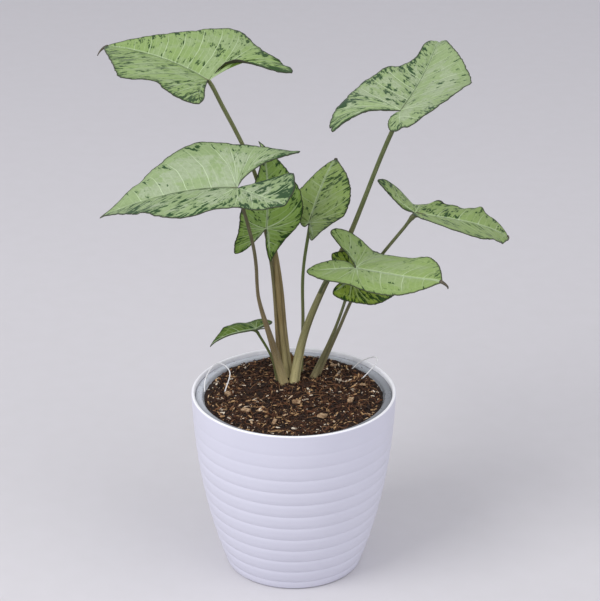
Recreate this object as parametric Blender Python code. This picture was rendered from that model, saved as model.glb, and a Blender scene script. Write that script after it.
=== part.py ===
"""Potted syngonium: a ribbed white planter, a nursery liner, potting mix and nine arrowhead leaves.

Metres, +Z up, the front of the plant towards -Y. The origin is the middle of the planter's underside.
A leaf blade is drawn flat from a few dimensions, then bent: its midrib droops and twists, each half
folds up from the midrib and curls towards its edge, and each back lobe lifts or hangs on its own.
The plant's own tables (leaves, petioles, label loops, chips) are in millimetres and degrees.
"""

from dataclasses import dataclass
from math import cos, pi, radians, sin

import bmesh
import bpy
import numpy as np
from mathutils import Matrix, Vector, noise

MM = 0.001
GAP = 0.3 * MM  # left between pieces that touch

# Planter, turned about Z
POT_HEIGHT = 120.5 * MM
RIM_RADIUS = 65 * MM
BASE_RADIUS = 43.6 * MM
POT_WALL = 2.2 * MM
POT_FLOOR = 2.6 * MM
RIB_COUNT = 9
RIB_PITCH = 9.18 * MM
TOP_GROOVE_HEIGHT = 88.5 * MM
RIB_DEPTH = 0.6 * MM
PLAIN_BAND = 12 * MM
FOOT_BEVEL = 1.2 * MM
POT_SEGMENTS = 48

# Nursery liner, standing inside the planter
LINER_FOOT_RADIUS = 37 * MM
LINER_LIP_RADIUS = RIM_RADIUS - POT_WALL - 0.5 * MM
LINER_MOUTH_RADIUS = 59 * MM
LINER_WALL = 1.0 * MM
LINER_TOP = POT_HEIGHT - 1.4 * MM
LINER_BOTTOM = POT_FLOOR + GAP
LINER_RINGS = (30 * MM, 60 * MM, 90 * MM)
LINER_LIP_DEPTH = 3 * MM
LINER_SEGMENTS = 40
DRAIN_RADIUS = 4 * MM
DRAIN_CIRCLE = 24 * MM
DRAIN_COUNT = 6
DRAIN_TURN = 0.07  # of the pitch, which keeps their corners off the liner's own

# Potting mix and the crowns that the petioles rise from
MIX_EDGE_HEIGHT = 115.5 * MM
MOUND = 2.5 * MM
MOUND_CENTRE = (2 * MM, 18 * MM)
MOUND_SPREAD = 30 * MM
ROUGHNESS = 0.5 * MM
ROUGHNESS_SCALE = 9 * MM
MIX_GAP = GAP + 0.2 * MM  # the liner's walls are flat between their corners
MIX_SEGMENTS = 32
MIX_RINGS = (0.15, 0.32, 0.48, 0.64, 0.8, 0.92, 1)
CROWN_RISE = 0.8 * MM
CROWN_SHOULDER = 6 * MM
CROWN_DEPTH = 20 * MM
CROWN_TAPER = 0.7
CROWN_SEGMENTS = 20
SOCKET_RISE = 6 * MM

FRONT_AT = (0.86, 0.62, 0.34, 0.06)  # shares of the midrib at which a half's width is given
INNER_AT = (0.8, 0.45, 0.16)  # shares of a lobe at which its inner edge is given
BLADE_THICKNESS = 0.8 * MM
BLADE_GAP = 0.35 * MM  # between a petiole's top and its blade
BLADE_FRONT_STEPS = 8
BLADE_LOBE_STEPS = 6
BLADE_RINGS = (0, 0.35, 0.7, 1)
STALK_SIDES = 8
STALK_STATIONS = 12


@dataclass
class Side:
    """One half of a blade, seen from above with the tip ahead."""

    width: float  # mm from the midrib to the edge
    lobe: float  # mm from the seat to the tip of the back lobe
    spread: float  # degrees between the lobe and the line of the midrib
    full: float  # bulge of the lobe's outer edge, as a share of that edge
    fold: float  # degrees that the half rises from the midrib
    curl: float  # degrees more at its edge
    lift: float  # degrees more at the end of the lobe
    bend: float  # degrees that the lobe hangs down towards its end
    front: tuple = (0.22, 0.66, 0.98, 0.93)  # shares of the width, at FRONT_AT
    inner: tuple = (0.13, 0.16, 0.08)  # inner edge to the lobe's axis, as shares of the lobe, at INNER_AT
    blunt: float = 0  # 0 for a pointed lobe, 1 for a square end


@dataclass
class Leaf:
    """A blade: its seat on the petiole in mm, and how it points and bends in degrees."""

    seat: tuple
    heading: float  # of the tip, anticlockwise from +X
    pitch: float
    roll: float  # left half down
    length: float  # mm from the seat to the tip
    arch: float  # bend down near the seat
    droop: float  # and near the tip
    twist: float
    sickle: float  # sideways bend of the midrib
    nod: float  # how far the last quarter bends down
    left: Side
    right: Side


@dataclass
class Petiole:
    """A petiole: its foot, the points it passes, and its widths, all mm.

    A foot with no height stands on a crown. One with a height leaves a neighbour's sheath there.
    """

    foot: tuple
    knees: list
    foot_width: float
    foot_depth: float
    top_width: float
    sheath: float  # share of its length that the widened sheath takes


LEAVES = {
    "top_left": Leaf(
        (-52, 48, 310.5), 118, 2, 11, 114, 0, 0, -8, 25, 10,
        Side(43, 47, 35, 0.08, 19, -9, 0, 4, front=(0.32, 0.7, 1.0, 0.82), inner=(0.06, 0.02, 0)),
        Side(42, 53, 65, 0.08, 20, -32, -13, -12,
             front=(0.14, 0.5, 1.06, 1.04), inner=(0.12, -0.08, -0.04), blunt=1),
    ),
    "large_left": Leaf(
        (-34, -8, 260.3), 166, -3, 25, 97, 20, 6, 2, 6, 0,
        Side(35, 50, 32, 0.05, 23, -10, 8, -22, inner=(0.25, 0.28, 0.14), blunt=0.6),
        Side(33, 48, 52, 0.02, 22, -31, -28, -26,
             front=(0.14, 0.64, 1.08, 1.0), inner=(0.03, -0.02, -0.03)),
    ),
    "centre": Leaf(
        (-17, 25, 220), 116, 97, -3, 60, 0, 30, 25, 0, 10,
        Side(22, 25, 54, 0.09, 6, -9, -8, 12,
             front=(0.08, 0.45, 0.92, 0.93), inner=(0.08, 0.06, 0.02)),
        Side(23, 26, 11, -0.04, 13, -5, -10, 6,
             front=(0.22, 0.66, 1.02, 1.0), inner=(0.06, 0.08, 0.04)),
    ),
    "small_centre": Leaf(
        (10, 42, 218), 73, 33, 14, 60, 0, 22, 12, -3, 10,
        Side(20, 4, 45, 0.1, 0, -12, 0, 10, front=(0.18, 0.5, 0.82, 0.42)),
        Side(25, 26, 33, -0.02, 15, -12, 26, -8,
             front=(0.24, 0.68, 1.0, 1.06), inner=(0.08, 0.1, 0.06)),
    ),
    "top_right": Leaf(
        (66, 28, 297), 70, 7, 3, 104, 0, -19, 0, 4, 75,
        Side(33, 45, 60, 0.1, 13, -22, -20, -4,
             front=(0.22, 0.36, 1.06, 1.23), inner=(0, -0.06, 0.02)),
        Side(38, 27, 17, 0.2, 20, -11, 10, 21,
             front=(0.3, 0.62, 0.93, 0.78), inner=(0.26, 0.32, 0.24), blunt=0.8),
    ),
    "right": Leaf(
        (77, 34, 228), 3, -11, -4, 71, 0, 38, 23, 20, 0,
        Side(23, 36, 48, 0.28, 6, -22, 30, -3,
             front=(0.4, 0.7, 0.72, 0.72), inner=(0.05, 0.05, 0.02)),
        Side(26, 6, 70, 0.12, 14, 1, 0, 6, front=(0.36, 0.84, 1.04, 0.75)),
    ),
    "front_right": Leaf(
        (38.5, -7, 207.5), -27, 1, -17, 67, -6, -27, 19, -19, 25,
        Side(25, 36, 39, 0.24, -6, -23, 31, -18,
             front=(0.36, 0.78, 0.86, 1.02), inner=(0, -0.04, -0.02)),
        Side(24, 31, 20, 0.08, 5, 1, -8, 0,
             front=(0.34, 0.68, 0.82, 0.76), inner=(0.2, 0.3, 0.2), blunt=0.5),
    ),
    "under_right": Leaf(
        (36.7, 12, 192), 10, -4, -58, 42, 0, 20, 0, 0, 0,
        Side(18, 20, 50, 0.1, 8, -10, 0, 0),
        Side(17, 16, 35, 0.1, 8, -8, 0, 0),
    ),
    "low_left": Leaf(
        (-24, 18, 155), 189, -5, -1, 32, 0, 37, 5, 6, 0,
        Side(12, 7, 32, 0.12, 22, -3, 0, 10),
        Side(12, 15, 38, 0.14, 12, -7, -6, 19),
    ),
}

PETIOLES = {
    "top_left": Petiole((-3.4, 22.6), [(-7.5, 26, 150), (-11, 36, 192), (-24, 45, 250)], 6.6, 3.8, 2.4, 0.6),
    "large_left": Petiole((-6.4, 14.2), [(-14, 10, 150), (-22, 5, 182), (-24, -3, 217)], 5.8, 4.4, 2.0, 0.45),
    "centre": Petiole((-8.4, 20.4), [(-12.6, 23, 150), (-15.6, 34, 190)], 2.2, 2.2, 1.9, 0.1),
    "small_centre": Petiole((4.5, 28.5), [(6, 33, 150), (6, 38, 185)], 2.6, 2.6, 1.9, 0.1),
    "top_right": Petiole(
        (0.4, 16.2), [(6, 18.5, 149), (18, 21, 180), (36, 32, 214.7), (55, 29, 269)], 6.4, 4.4, 2.6, 0.65
    ),
    "right": Petiole((15.5, 26.5), [(28, 29, 147), (44, 31, 183)], 3.2, 3.0, 1.9, 0.2),
    "front_right": Petiole((16.6, 18.1, 180), [(20, 11, 190), (29, 1, 202)], 2.0, 2.0, 1.9, 0.1),
    "under_right": Petiole((12.8, 22), [(22, 20, 142), (30, 15, 167)], 5.2, 3.8, 1.8, 0.5),
    "low_left": Petiole((-10.4, 17.6), [(-14.5, 18, 136)], 2.0, 2.0, 1.5, 0.1),
}

# Crowns: middle and half sizes on the mix, mm
CROWNS = {"main": ((-0.6, 20.6), (10.6, 10.8)), "right": ((14.2, 24.3), (3.8, 5.0))}
RIGHT_CROWN_PETIOLES = ("right", "under_right")

DRY_SHEATH_FOOT = (-1.5, 27.5)
DRY_SHEATH_HEIGHT = 14
DRY_SHEATH_WIDTH = 6.4
DRY_SHEATH_DEPTH = 1.8

# Label loops: bends of a thin clear filament, mm; the ends stand on the mix
LABEL_LOOPS = {
    "label_loop_left": [(-57, 5), (-56, 12, 124), (-49, 20, 130), (-41, 17, 125), (-44, 5)],
    "label_loop_right": [(38, 38), (44, 37, 123), (52, 33, 128), (54, 28, 127), (48, 24, 121), (44, 23)],
}
FILAMENT_RADIUS = 0.4 * MM

# Loose chips of coir and bark on the mix: place, length, width, thickness (mm) and turn (degrees)
CHIPS = [
    (-30, -22, 8, 3.0, 1.6, 20),
    (-12, -38, 7, 2.6, 1.4, 75),
    (18, -30, 8, 3.4, 1.8, -35),
    (36, -8, 7, 2.8, 1.6, 60),
    (44, 14, 6, 2.4, 1.4, 10),
    (-42, 2, 6, 3.0, 1.6, -60),
    (26, 42, 6, 2.4, 1.4, 35),
    (2, -12, 7, 2.6, 1.6, -15),
]
CHIP_OUTLINE = [(-0.5, -0.3), (-0.1, -0.5), (0.5, -0.22), (0.46, 0.3), (0, 0.5), (-0.46, 0.36)]


def clear_scene():
    for obj in list(bpy.data.objects):
        bpy.data.objects.remove(obj, do_unlink=True)


def material(name, colour, roughness, metallic=0.0):
    made = bpy.data.materials.new(name)
    made.use_nodes = True
    shader = made.node_tree.nodes["Principled BSDF"]
    shader.inputs["Base Color"].default_value = (*colour, 1)
    shader.inputs["Roughness"].default_value = roughness
    shader.inputs["Metallic"].default_value = metallic
    return made


def add_object(name, mesh, finish):
    obj = bpy.data.objects.new(name, mesh)
    obj.data.materials.append(finish)
    bpy.context.scene.collection.objects.link(obj)
    return obj


def mesh_from(name, points, faces, smooth=True):
    """A mesh with its faces turned outward."""
    build = bmesh.new()
    corners = [build.verts.new(point) for point in points]
    for face in faces:
        build.faces.new([corners[index] for index in face])
    bmesh.ops.remove_doubles(build, verts=build.verts, dist=1e-6)
    bmesh.ops.recalc_face_normals(build, faces=build.faces)
    mesh = bpy.data.meshes.new(name)
    build.to_mesh(mesh)
    build.free()
    if smooth:
        mesh.shade_smooth()
        mesh.set_sharp_from_angle(angle=radians(40))
    return mesh


def turned(name, profile, segments, centre=(0, 0), squash=(1, 1)):
    """The closed profile [(radius, height)] turned about Z. Points at radius 0 become poles."""
    points = []
    rings = []
    for radius, height in profile:
        if radius == 0:
            rings.append([len(points)] * segments)
            points.append((*centre, height))
            continue
        rings.append(list(range(len(points), len(points) + segments)))
        for k in range(segments):
            angle = 2 * pi * k / segments
            x = centre[0] + radius * squash[0] * cos(angle)
            y = centre[1] + radius * squash[1] * sin(angle)
            points.append((x, y, height))
    faces = []
    for lower, upper in zip(rings, rings[1:] + rings[:1]):
        for k in range(segments):
            after = (k + 1) % segments
            face = [lower[k], lower[after], upper[after], upper[k]]
            distinct = list(dict.fromkeys(face))
            if len(distinct) > 2:
                faces.append(distinct)
    return mesh_from(name, points, faces)


def smooth_path(points, count):
    """count points along a Catmull-Rom curve, evenly spaced."""
    given = np.array(points, float)
    ends = np.vstack([2 * given[0] - given[1], given, 2 * given[-1] - given[-2]])
    fine = []
    for p0, p1, p2, p3 in zip(ends, ends[1:], ends[2:], ends[3:]):
        for t in np.linspace(0, 1, 24, endpoint=False):
            slope_in = (p2 - p0) / 2
            slope_out = (p3 - p1) / 2
            fine.append(
                (2 * t**3 - 3 * t**2 + 1) * p1
                + (t**3 - 2 * t**2 + t) * slope_in
                + (3 * t**2 - 2 * t**3) * p2
                + (t**3 - t**2) * slope_out
            )
    fine.append(given[-1])
    fine = np.array(fine)
    along = np.concatenate([[0], np.cumsum(np.linalg.norm(np.diff(fine, axis=0), axis=1))])
    wanted = np.linspace(0, along[-1], count)
    return np.stack([np.interp(wanted, along, fine[:, axis]) for axis in range(3)], axis=1)


# --- planter, liner and mix ---


def pot_radius(height):
    """Outer radius of the planter between its grooves: it swells quickly, then rises almost straight."""
    t = height / POT_HEIGHT
    swell = 2.04 * t - 1.23 * t**2 + 0.21 * t**3 - 0.02 * t**4
    return BASE_RADIUS + (RIM_RADIUS - BASE_RADIUS) * swell


def outer_pot():
    grooves = [TOP_GROOVE_HEIGHT - RIB_PITCH * k for k in range(RIB_COUNT)]
    outside = [(BASE_RADIUS - FOOT_BEVEL, 0), (pot_radius(FOOT_BEVEL), FOOT_BEVEL)]
    for groove in reversed(grooves):
        outside.append((pot_radius(groove) - RIB_DEPTH, groove))
        for share in (0.3, 0.7):
            crest = groove + share * RIB_PITCH
            outside.append((pot_radius(crest), crest))
    band = POT_HEIGHT - PLAIN_BAND
    outside.append((pot_radius(band), band))
    outside.append((RIM_RADIUS, POT_HEIGHT - 0.6 * MM))
    outside.append((RIM_RADIUS - 0.5 * MM, POT_HEIGHT))
    inside = [(RIM_RADIUS - POT_WALL + 0.5 * MM, POT_HEIGHT), (RIM_RADIUS - POT_WALL, POT_HEIGHT - 0.6 * MM)]
    for share in (0.8, 0.6, 0.4, 0.25, 0.12):
        height = share * POT_HEIGHT
        inside.append((pot_radius(height) - RIB_DEPTH - POT_WALL, height))
    inside.append((BASE_RADIUS - POT_WALL, POT_FLOOR))
    profile = [(0, 0), *outside, *inside, (0, POT_FLOOR)]
    mesh = turned("outer_pot", profile, POT_SEGMENTS)
    add_object("outer_pot", mesh, material("white_plastic", (0.85, 0.86, 0.90), 0.35))


def liner_outer_radius(height):
    share = (height - LINER_BOTTOM) / (LINER_TOP - LINER_BOTTOM)
    return LINER_FOOT_RADIUS + (LINER_MOUTH_RADIUS - LINER_FOOT_RADIUS) * share


def inner_pot():
    below_lip = LINER_TOP - LINER_LIP_DEPTH
    outside = [(LINER_FOOT_RADIUS, LINER_BOTTOM)]
    outside += [(liner_outer_radius(height), height) for height in (*LINER_RINGS, below_lip)]
    lip = [(LINER_LIP_RADIUS, LINER_TOP - 1 * MM), (LINER_LIP_RADIUS, LINER_TOP)]
    mouth = liner_outer_radius(below_lip) - LINER_WALL
    inside = [(mouth + 1 * MM, LINER_TOP - 0.6 * MM), (mouth, below_lip - 1 * MM)]
    inside += [(liner_outer_radius(height) - LINER_WALL, height) for height in reversed(LINER_RINGS)]
    inside.append((LINER_FOOT_RADIUS - LINER_WALL, LINER_BOTTOM + LINER_WALL))
    profile = [(0, LINER_BOTTOM), *outside, *lip, *inside, (0, LINER_BOTTOM + LINER_WALL)]
    mesh = turned("inner_pot", profile, LINER_SEGMENTS)
    liner = add_object("inner_pot", mesh, material("clear_plastic", (0.70, 0.72, 0.74), 0.3))
    for k in range(DRAIN_COUNT):
        angle = 2 * pi * (k + DRAIN_TURN) / DRAIN_COUNT
        centre = (DRAIN_CIRCLE * cos(angle), DRAIN_CIRCLE * sin(angle))
        low = LINER_BOTTOM - 1 * MM
        high = LINER_BOTTOM + 3 * MM
        hole = [(0, low), (DRAIN_RADIUS, low), (DRAIN_RADIUS, high), (0, high)]
        cut(liner, turned(f"drain_{k}", hole, 12, centre))


def cut(obj, cutter_mesh):
    """Subtracts a mesh from an object through a Boolean modifier."""
    cutter = bpy.data.objects.new(cutter_mesh.name, cutter_mesh)
    cutter.hide_render = True
    cutter.display_type = "WIRE"
    bpy.context.scene.collection.objects.link(cutter)
    modifier = obj.modifiers.new(cutter_mesh.name, "BOOLEAN")
    modifier.object = cutter
    modifier.operation = "DIFFERENCE"


def mix_height(x, y):
    """Height of the mix's surface: low at the liner, mounded round the plant, slightly rough."""
    from_plant = ((x - MOUND_CENTRE[0]) ** 2 + (y - MOUND_CENTRE[1]) ** 2) ** 0.5
    mound = MOUND * np.exp(-((from_plant / MOUND_SPREAD) ** 2))
    return MIX_EDGE_HEIGHT + mound + ROUGHNESS * noise.noise(Vector((x, y, 0)) / ROUGHNESS_SCALE)


def potting_mix():
    """One body: a rough top, and walls that keep a gap to the liner."""
    segments = MIX_SEGMENTS
    edge = liner_outer_radius(MIX_EDGE_HEIGHT) - LINER_WALL - MIX_GAP
    floor = LINER_BOTTOM + LINER_WALL + GAP
    foot = liner_outer_radius(floor) - LINER_WALL - MIX_GAP
    rings = [(edge * share, None) for share in MIX_RINGS]
    rings.append((foot, floor))
    points = [(0, 0, mix_height(0, 0))]
    for radius, height in rings:
        for k in range(segments):
            angle = 2 * pi * k / segments
            x = radius * cos(angle)
            y = radius * sin(angle)
            points.append((x, y, mix_height(x, y) if height is None else height))
    points.append((0, 0, floor))
    last = len(points) - 1
    faces = []
    for k in range(segments):
        after = (k + 1) % segments
        faces.append((0, 1 + k, 1 + after))
        for ring in range(len(rings) - 1):
            inner = 1 + ring * segments
            outer = inner + segments
            faces.append((inner + k, outer + k, outer + after))
            faces.append((inner + k, outer + after, inner + after))
        base = 1 + (len(rings) - 1) * segments
        faces.append((last, base + after, base + k))
    mesh = mesh_from("potting_mix", points, faces, smooth=False)
    mix = add_object("potting_mix", mesh, material("coir_mix", (0.09, 0.05, 0.03), 0.95))
    for name in CROWNS:
        cut(mix, crown_mesh(name + "_socket", name, GAP, SOCKET_RISE))


def crown_top(name):
    centre = CROWNS[name][0]
    return mix_height(centre[0] * MM, centre[1] * MM) + CROWN_RISE


def crown_mesh(mesh_name, name, clearance=0.0, rise=0.0):
    """A short stem stub with a flat top, tapering as it goes down into the mix.

    Its socket's cutter is the same shape with clearance all round, and it rises out of the mix.
    """
    centre, half = CROWNS[name]
    top = crown_top(name) + rise
    shoulder = crown_top(name) - CROWN_SHOULDER
    bottom = crown_top(name) - CROWN_DEPTH - clearance
    profile = [(0, bottom), (CROWN_TAPER, bottom), (1, shoulder), (1, top), (0, top)]
    place = (centre[0] * MM, centre[1] * MM)
    size = (half[0] * MM + clearance, half[1] * MM + clearance)
    return turned(mesh_name, profile, CROWN_SEGMENTS, place, size)


def crowns():
    finish = material("stem_skin", (0.36, 0.34, 0.20), 0.6)
    for name in CROWNS:
        add_object("stem_" + name, crown_mesh("stem_" + name, name), finish)


# --- leaves ---


def half_outline(leaf, side):
    """Edge of one half, flat, in mm: x along the midrib, y outward, from the tip round to the seat."""
    length = leaf.length
    width = side.width
    spread = radians(side.spread)
    lobe_tip = np.array([-side.lobe * cos(spread), side.lobe * sin(spread)])
    outward = np.array([sin(spread), cos(spread)])
    waist = np.array([FRONT_AT[-1] * length, side.front[-1] * width])
    edge = lobe_tip - waist
    bulge = np.array([edge[1], -edge[0]]) * side.full
    front = [(length, 0)]
    front += [(along * length, share * width) for along, share in zip(FRONT_AT, side.front)]
    outer = [waist + 0.5 * edge + bulge, waist + 0.86 * edge + 0.8 * bulge]
    end = [lobe_tip]
    if side.blunt:
        corner = outward * 0.12 * side.lobe * side.blunt
        end = [0.97 * lobe_tip + corner, lobe_tip, 0.97 * lobe_tip - corner]
    inner = [along * lobe_tip - outward * share * side.lobe for along, share in zip(INNER_AT, side.inner)]
    points = np.array([*front, *outer, *end, *inner, (0, 0)])
    smooth = smooth_path(np.column_stack([points, np.zeros(len(points))]), 241)[:, :2]
    waist_at = np.argmin(np.linalg.norm(smooth - waist, axis=1))
    tip_at = np.argmin(np.linalg.norm(smooth - lobe_tip, axis=1))
    return smooth, waist_at, tip_at


def edge_and_feet(leaf, side):
    """Pairs of flat points: on the edge, and on the vein that feeds it."""
    outline, waist_at, tip_at = half_outline(leaf, side)
    spread = radians(side.spread)
    lobe_foot = np.array([-cos(spread), sin(spread)]) * 0.8 * side.lobe
    edge = []
    feet = []
    for k in range(BLADE_FRONT_STEPS):
        share = k / BLADE_FRONT_STEPS
        edge.append(outline[int(waist_at * share)])
        feet.append(((1 - share) * leaf.length, 0))
    for k in range(BLADE_LOBE_STEPS + 1):
        share = k / BLADE_LOBE_STEPS
        edge.append(outline[int(waist_at + (tip_at - waist_at) * share)])
        feet.append(lobe_foot * share)
    for k in range(1, BLADE_LOBE_STEPS + 1):
        share = k / BLADE_LOBE_STEPS
        edge.append(outline[int(tip_at + (len(outline) - 1 - tip_at) * share)])
        feet.append(lobe_foot * (1 - share))
    return np.array(edge), np.array(feet)


def seat_frame(leaf):
    """Axes at the seat, as columns: along the midrib, to the left, up out of the blade."""
    heading = radians(leaf.heading)
    pitch = radians(leaf.pitch)
    along = Vector((cos(heading) * cos(pitch), sin(heading) * cos(pitch), sin(pitch)))
    left = Vector((-sin(heading), cos(heading), 0))
    up = along.cross(left)
    level = Matrix((along, left, up)).transposed()
    return level @ Matrix.Rotation(radians(-leaf.roll), 3, "X")


def midrib(leaf, distance):
    """Point and axes on the midrib, that far from the seat towards the tip."""
    steps = 24
    step = distance / steps
    axes = seat_frame(leaf)
    point = Vector((0, 0, 0))
    for k in range(steps):
        share = step / leaf.length
        here = (k + 0.5) * step / leaf.length
        axes = axes @ Matrix.Rotation(radians(leaf.sickle * share), 3, "Z")
        nod = leaf.nod * 32 * max(here - 0.75, 0)
        bend = (leaf.arch * 2 * (1 - here) + leaf.droop * 2 * here + nod) * share
        axes = axes @ Matrix.Rotation(radians(bend), 3, "Y")
        axes = axes @ Matrix.Rotation(radians(leaf.twist * share), 3, "X")
        point = point + axes.col[0] * step
    return point, axes


def lobe_line(leaf, side, distance):
    """Point and axes behind the seat, that far back: the lobe bends down as it goes."""
    steps = 12
    step = distance / steps
    axes = seat_frame(leaf)
    point = Vector((0, 0, 0))
    for _ in range(steps):
        axes = axes @ Matrix.Rotation(-radians(side.bend * step / side.lobe), 3, "Y")
        point = point - axes.col[0] * step
    return point, axes


def bent(leaf, side, hand, flat):
    """The 3-D place of a flat point; hand is +1 for the left half and -1 for the right."""
    x, y = flat
    if x >= 0:
        point, axes = midrib(leaf, x)
    else:
        point, axes = lobe_line(leaf, side, -x)
    back = min(max(-x / side.lobe, 0), 1)
    rise = radians(side.fold + side.lift * back)
    turn = radians(side.curl or 0.01) / side.width
    out = (sin(rise + turn * y) - sin(rise)) / turn
    up = (cos(rise) - cos(rise + turn * y)) / turn
    return Vector(leaf.seat) + point + axes.col[1] * hand * out + axes.col[2] * up


def blade_mesh(name, leaf):
    """The blade's middle surface, from the veins out to the edge."""
    build = bmesh.new()
    for side, hand in ((leaf.left, 1), (leaf.right, -1)):
        edge, feet = edge_and_feet(leaf, side)
        rows = []
        for outer, foot in zip(edge, feet):
            flats = [foot + (outer - foot) * ring for ring in BLADE_RINGS]
            flats = [(x, max(y, 0) if x > 0 else y) for x, y in flats]
            rows.append([build.verts.new(bent(leaf, side, hand, flat) * MM) for flat in flats])
        for row, after in zip(rows, rows[1:]):
            for k in range(len(BLADE_RINGS) - 1):
                face = [row[k], row[k + 1], after[k + 1], after[k]]
                build.faces.new(face[::hand])
    bmesh.ops.remove_doubles(build, verts=build.verts, dist=0.05 * MM)
    bmesh.ops.dissolve_degenerate(build, edges=build.edges, dist=0.02 * MM)
    mesh = bpy.data.meshes.new(name)
    build.to_mesh(mesh)
    build.free()
    mesh.shade_smooth()
    return mesh


def blades():
    finish = material("leaf_green", (0.34, 0.50, 0.24), 0.45)
    for name, leaf in LEAVES.items():
        blade = add_object("leaf_" + name, blade_mesh("leaf_" + name, leaf), finish)
        skin = blade.modifiers.new("thickness", "SOLIDIFY")
        skin.thickness = BLADE_THICKNESS
        skin.offset = 0


# --- petioles ---


def swept(name, path, widths, depths, sides):
    """A tube along the path (metres), elliptical, closed at both ends; it starts flat on its crown."""
    points = []
    for k, centre in enumerate(path):
        ahead = path[min(k + 1, len(path) - 1)]
        behind = path[max(k - 1, 0)]
        direction = Vector(ahead - behind).normalized()
        if k == 0:
            direction = Vector((0, 0, 1))
        across = Vector((0, 1, 0)).cross(direction).normalized()
        deep = direction.cross(across)
        for j in range(sides):
            angle = 2 * pi * j / sides
            offset = across * cos(angle) * widths[k] / 2 + deep * sin(angle) * depths[k] / 2
            points.append(Vector(centre) + offset)
    faces = []
    for k in range(len(path) - 1):
        for j in range(sides):
            after = (j + 1) % sides
            faces.append((k * sides + j, k * sides + after, (k + 1) * sides + after, (k + 1) * sides + j))
    faces.append(tuple(range(sides)))
    faces.append(tuple(range((len(path) - 1) * sides, len(path) * sides)))
    return mesh_from(name, points, faces)


def petiole_route(name):
    """From the crown to just under the blade's seat, in metres."""
    petiole = PETIOLES[name]
    leaf = LEAVES[name]
    foot = petiole.foot
    if len(foot) == 2:
        crown = "right" if name in RIGHT_CROWN_PETIOLES else "main"
        foot = (*foot, (crown_top(crown) + GAP) / MM)
    up = seat_frame(leaf).col[2]
    rise = (Vector(leaf.seat) - Vector(petiole.knees[-1])).normalized()
    slant = (1 - rise.dot(up) ** 2) ** 0.5
    below = petiole.top_width / 2 * slant + (BLADE_THICKNESS / 2 + BLADE_GAP) / MM
    top = Vector(leaf.seat) - up * below
    return smooth_path([foot, *petiole.knees, tuple(top)], STALK_STATIONS) * MM


def petioles():
    finish = material("petiole_skin", (0.33, 0.35, 0.18), 0.5)
    for name, petiole in PETIOLES.items():
        widths = []
        depths = []
        for k in range(STALK_STATIONS):
            share = k / (STALK_STATIONS - 1)
            swell = max(0.0, 1 - share / petiole.sheath) ** 0.8
            widths.append((petiole.top_width + (petiole.foot_width - petiole.top_width) * swell) * MM)
            depths.append((petiole.top_width + (petiole.foot_depth - petiole.top_width) * swell) * MM)
        mesh = swept("petiole_" + name, petiole_route(name), widths, depths, STALK_SIDES)
        add_object("petiole_" + name, mesh, finish)


def dry_sheath():
    """A short, dry leaf sheath with no blade, at the back of the crown."""
    foot = Vector((*DRY_SHEATH_FOOT, (crown_top("main") + GAP) / MM))
    middle = foot + Vector((0, 0.6, 0.5 * DRY_SHEATH_HEIGHT))
    route = [foot, middle, foot + Vector((-0.4, 2, DRY_SHEATH_HEIGHT))]
    path = smooth_path([tuple(point) for point in route], 6) * MM
    shares = (1, 1, 0.95, 0.8, 0.5, 0.12)
    widths = [DRY_SHEATH_WIDTH * share * MM for share in shares]
    depths = [DRY_SHEATH_DEPTH * share * MM for share in shares]
    mesh = swept("dry_sheath", path, widths, depths, STALK_SIDES)
    add_object("dry_sheath", mesh, material("dry_sheath_skin", (0.35, 0.24, 0.10), 0.6))


# --- label loops and loose chips ---


def label_loops():
    finish = material("clear_nylon", (0.75, 0.75, 0.72), 0.2)
    for name, bends in LABEL_LOOPS.items():
        lift = (FILAMENT_RADIUS + 2 * GAP) / MM
        ends = [(x, y, mix_height(x * MM, y * MM) / MM + lift) for x, y in (bends[0], bends[-1])]
        path = smooth_path([ends[0], *bends[1:-1], ends[1]], 28) * MM
        curve = bpy.data.curves.new(name, "CURVE")
        curve.dimensions = "3D"
        curve.bevel_depth = FILAMENT_RADIUS
        curve.bevel_resolution = 1
        curve.use_fill_caps = True
        spline = curve.splines.new("POLY")
        spline.points.add(len(path) - 1)
        for point, place in zip(spline.points, path):
            point.co = (*place, 1)
        add_object(name, curve, finish)


def loose_chips():
    """Flat, slightly wedge-shaped splinters lying on the mix."""
    finish = material("coir_chip", (0.42, 0.24, 0.11), 0.9)
    for number, (x, y, length, width, thickness, turn) in enumerate(CHIPS, 1):
        name = f"coir_chip_{number}"
        spin = Matrix.Rotation(radians(turn), 3, "Z")
        place = Vector((x, y, 0))
        flat = [(place + spin @ Vector((u * length, v * width, 0))) * MM for u, v in CHIP_OUTLINE]
        floor = max(mix_height(point.x, point.y) for point in flat) + 2 * GAP
        points = [(point.x, point.y, floor) for point in flat]
        points += [(point.x, point.y, floor + thickness * MM) for point in flat]
        count = len(CHIP_OUTLINE)
        faces = [tuple(range(count)), tuple(range(count, 2 * count))]
        for k in range(count):
            after = (k + 1) % count
            faces.append((k, after, count + after, count + k))
        add_object(name, mesh_from(name, points, faces, smooth=False), finish)


clear_scene()
outer_pot()
inner_pot()
potting_mix()
crowns()
petioles()
blades()
dry_sheath()
label_loops()
loose_chips()
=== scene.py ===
"""Looks of the potted syngonium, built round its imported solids: blades, stalks, planter, liner and mix.

Metres, +Z up, the front of the plant towards -Y. The plant's own tables are in millimetres and degrees.
A blade is drawn flat, row by row along its side veins, and then bent as its solid is. Where each blade
sits, and each stalk's course, are read from the solids.
"""

from dataclasses import dataclass
from math import cos, pi, radians, sin

import bpy
import numpy as np
from mathutils import Matrix, Vector, noise


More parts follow.
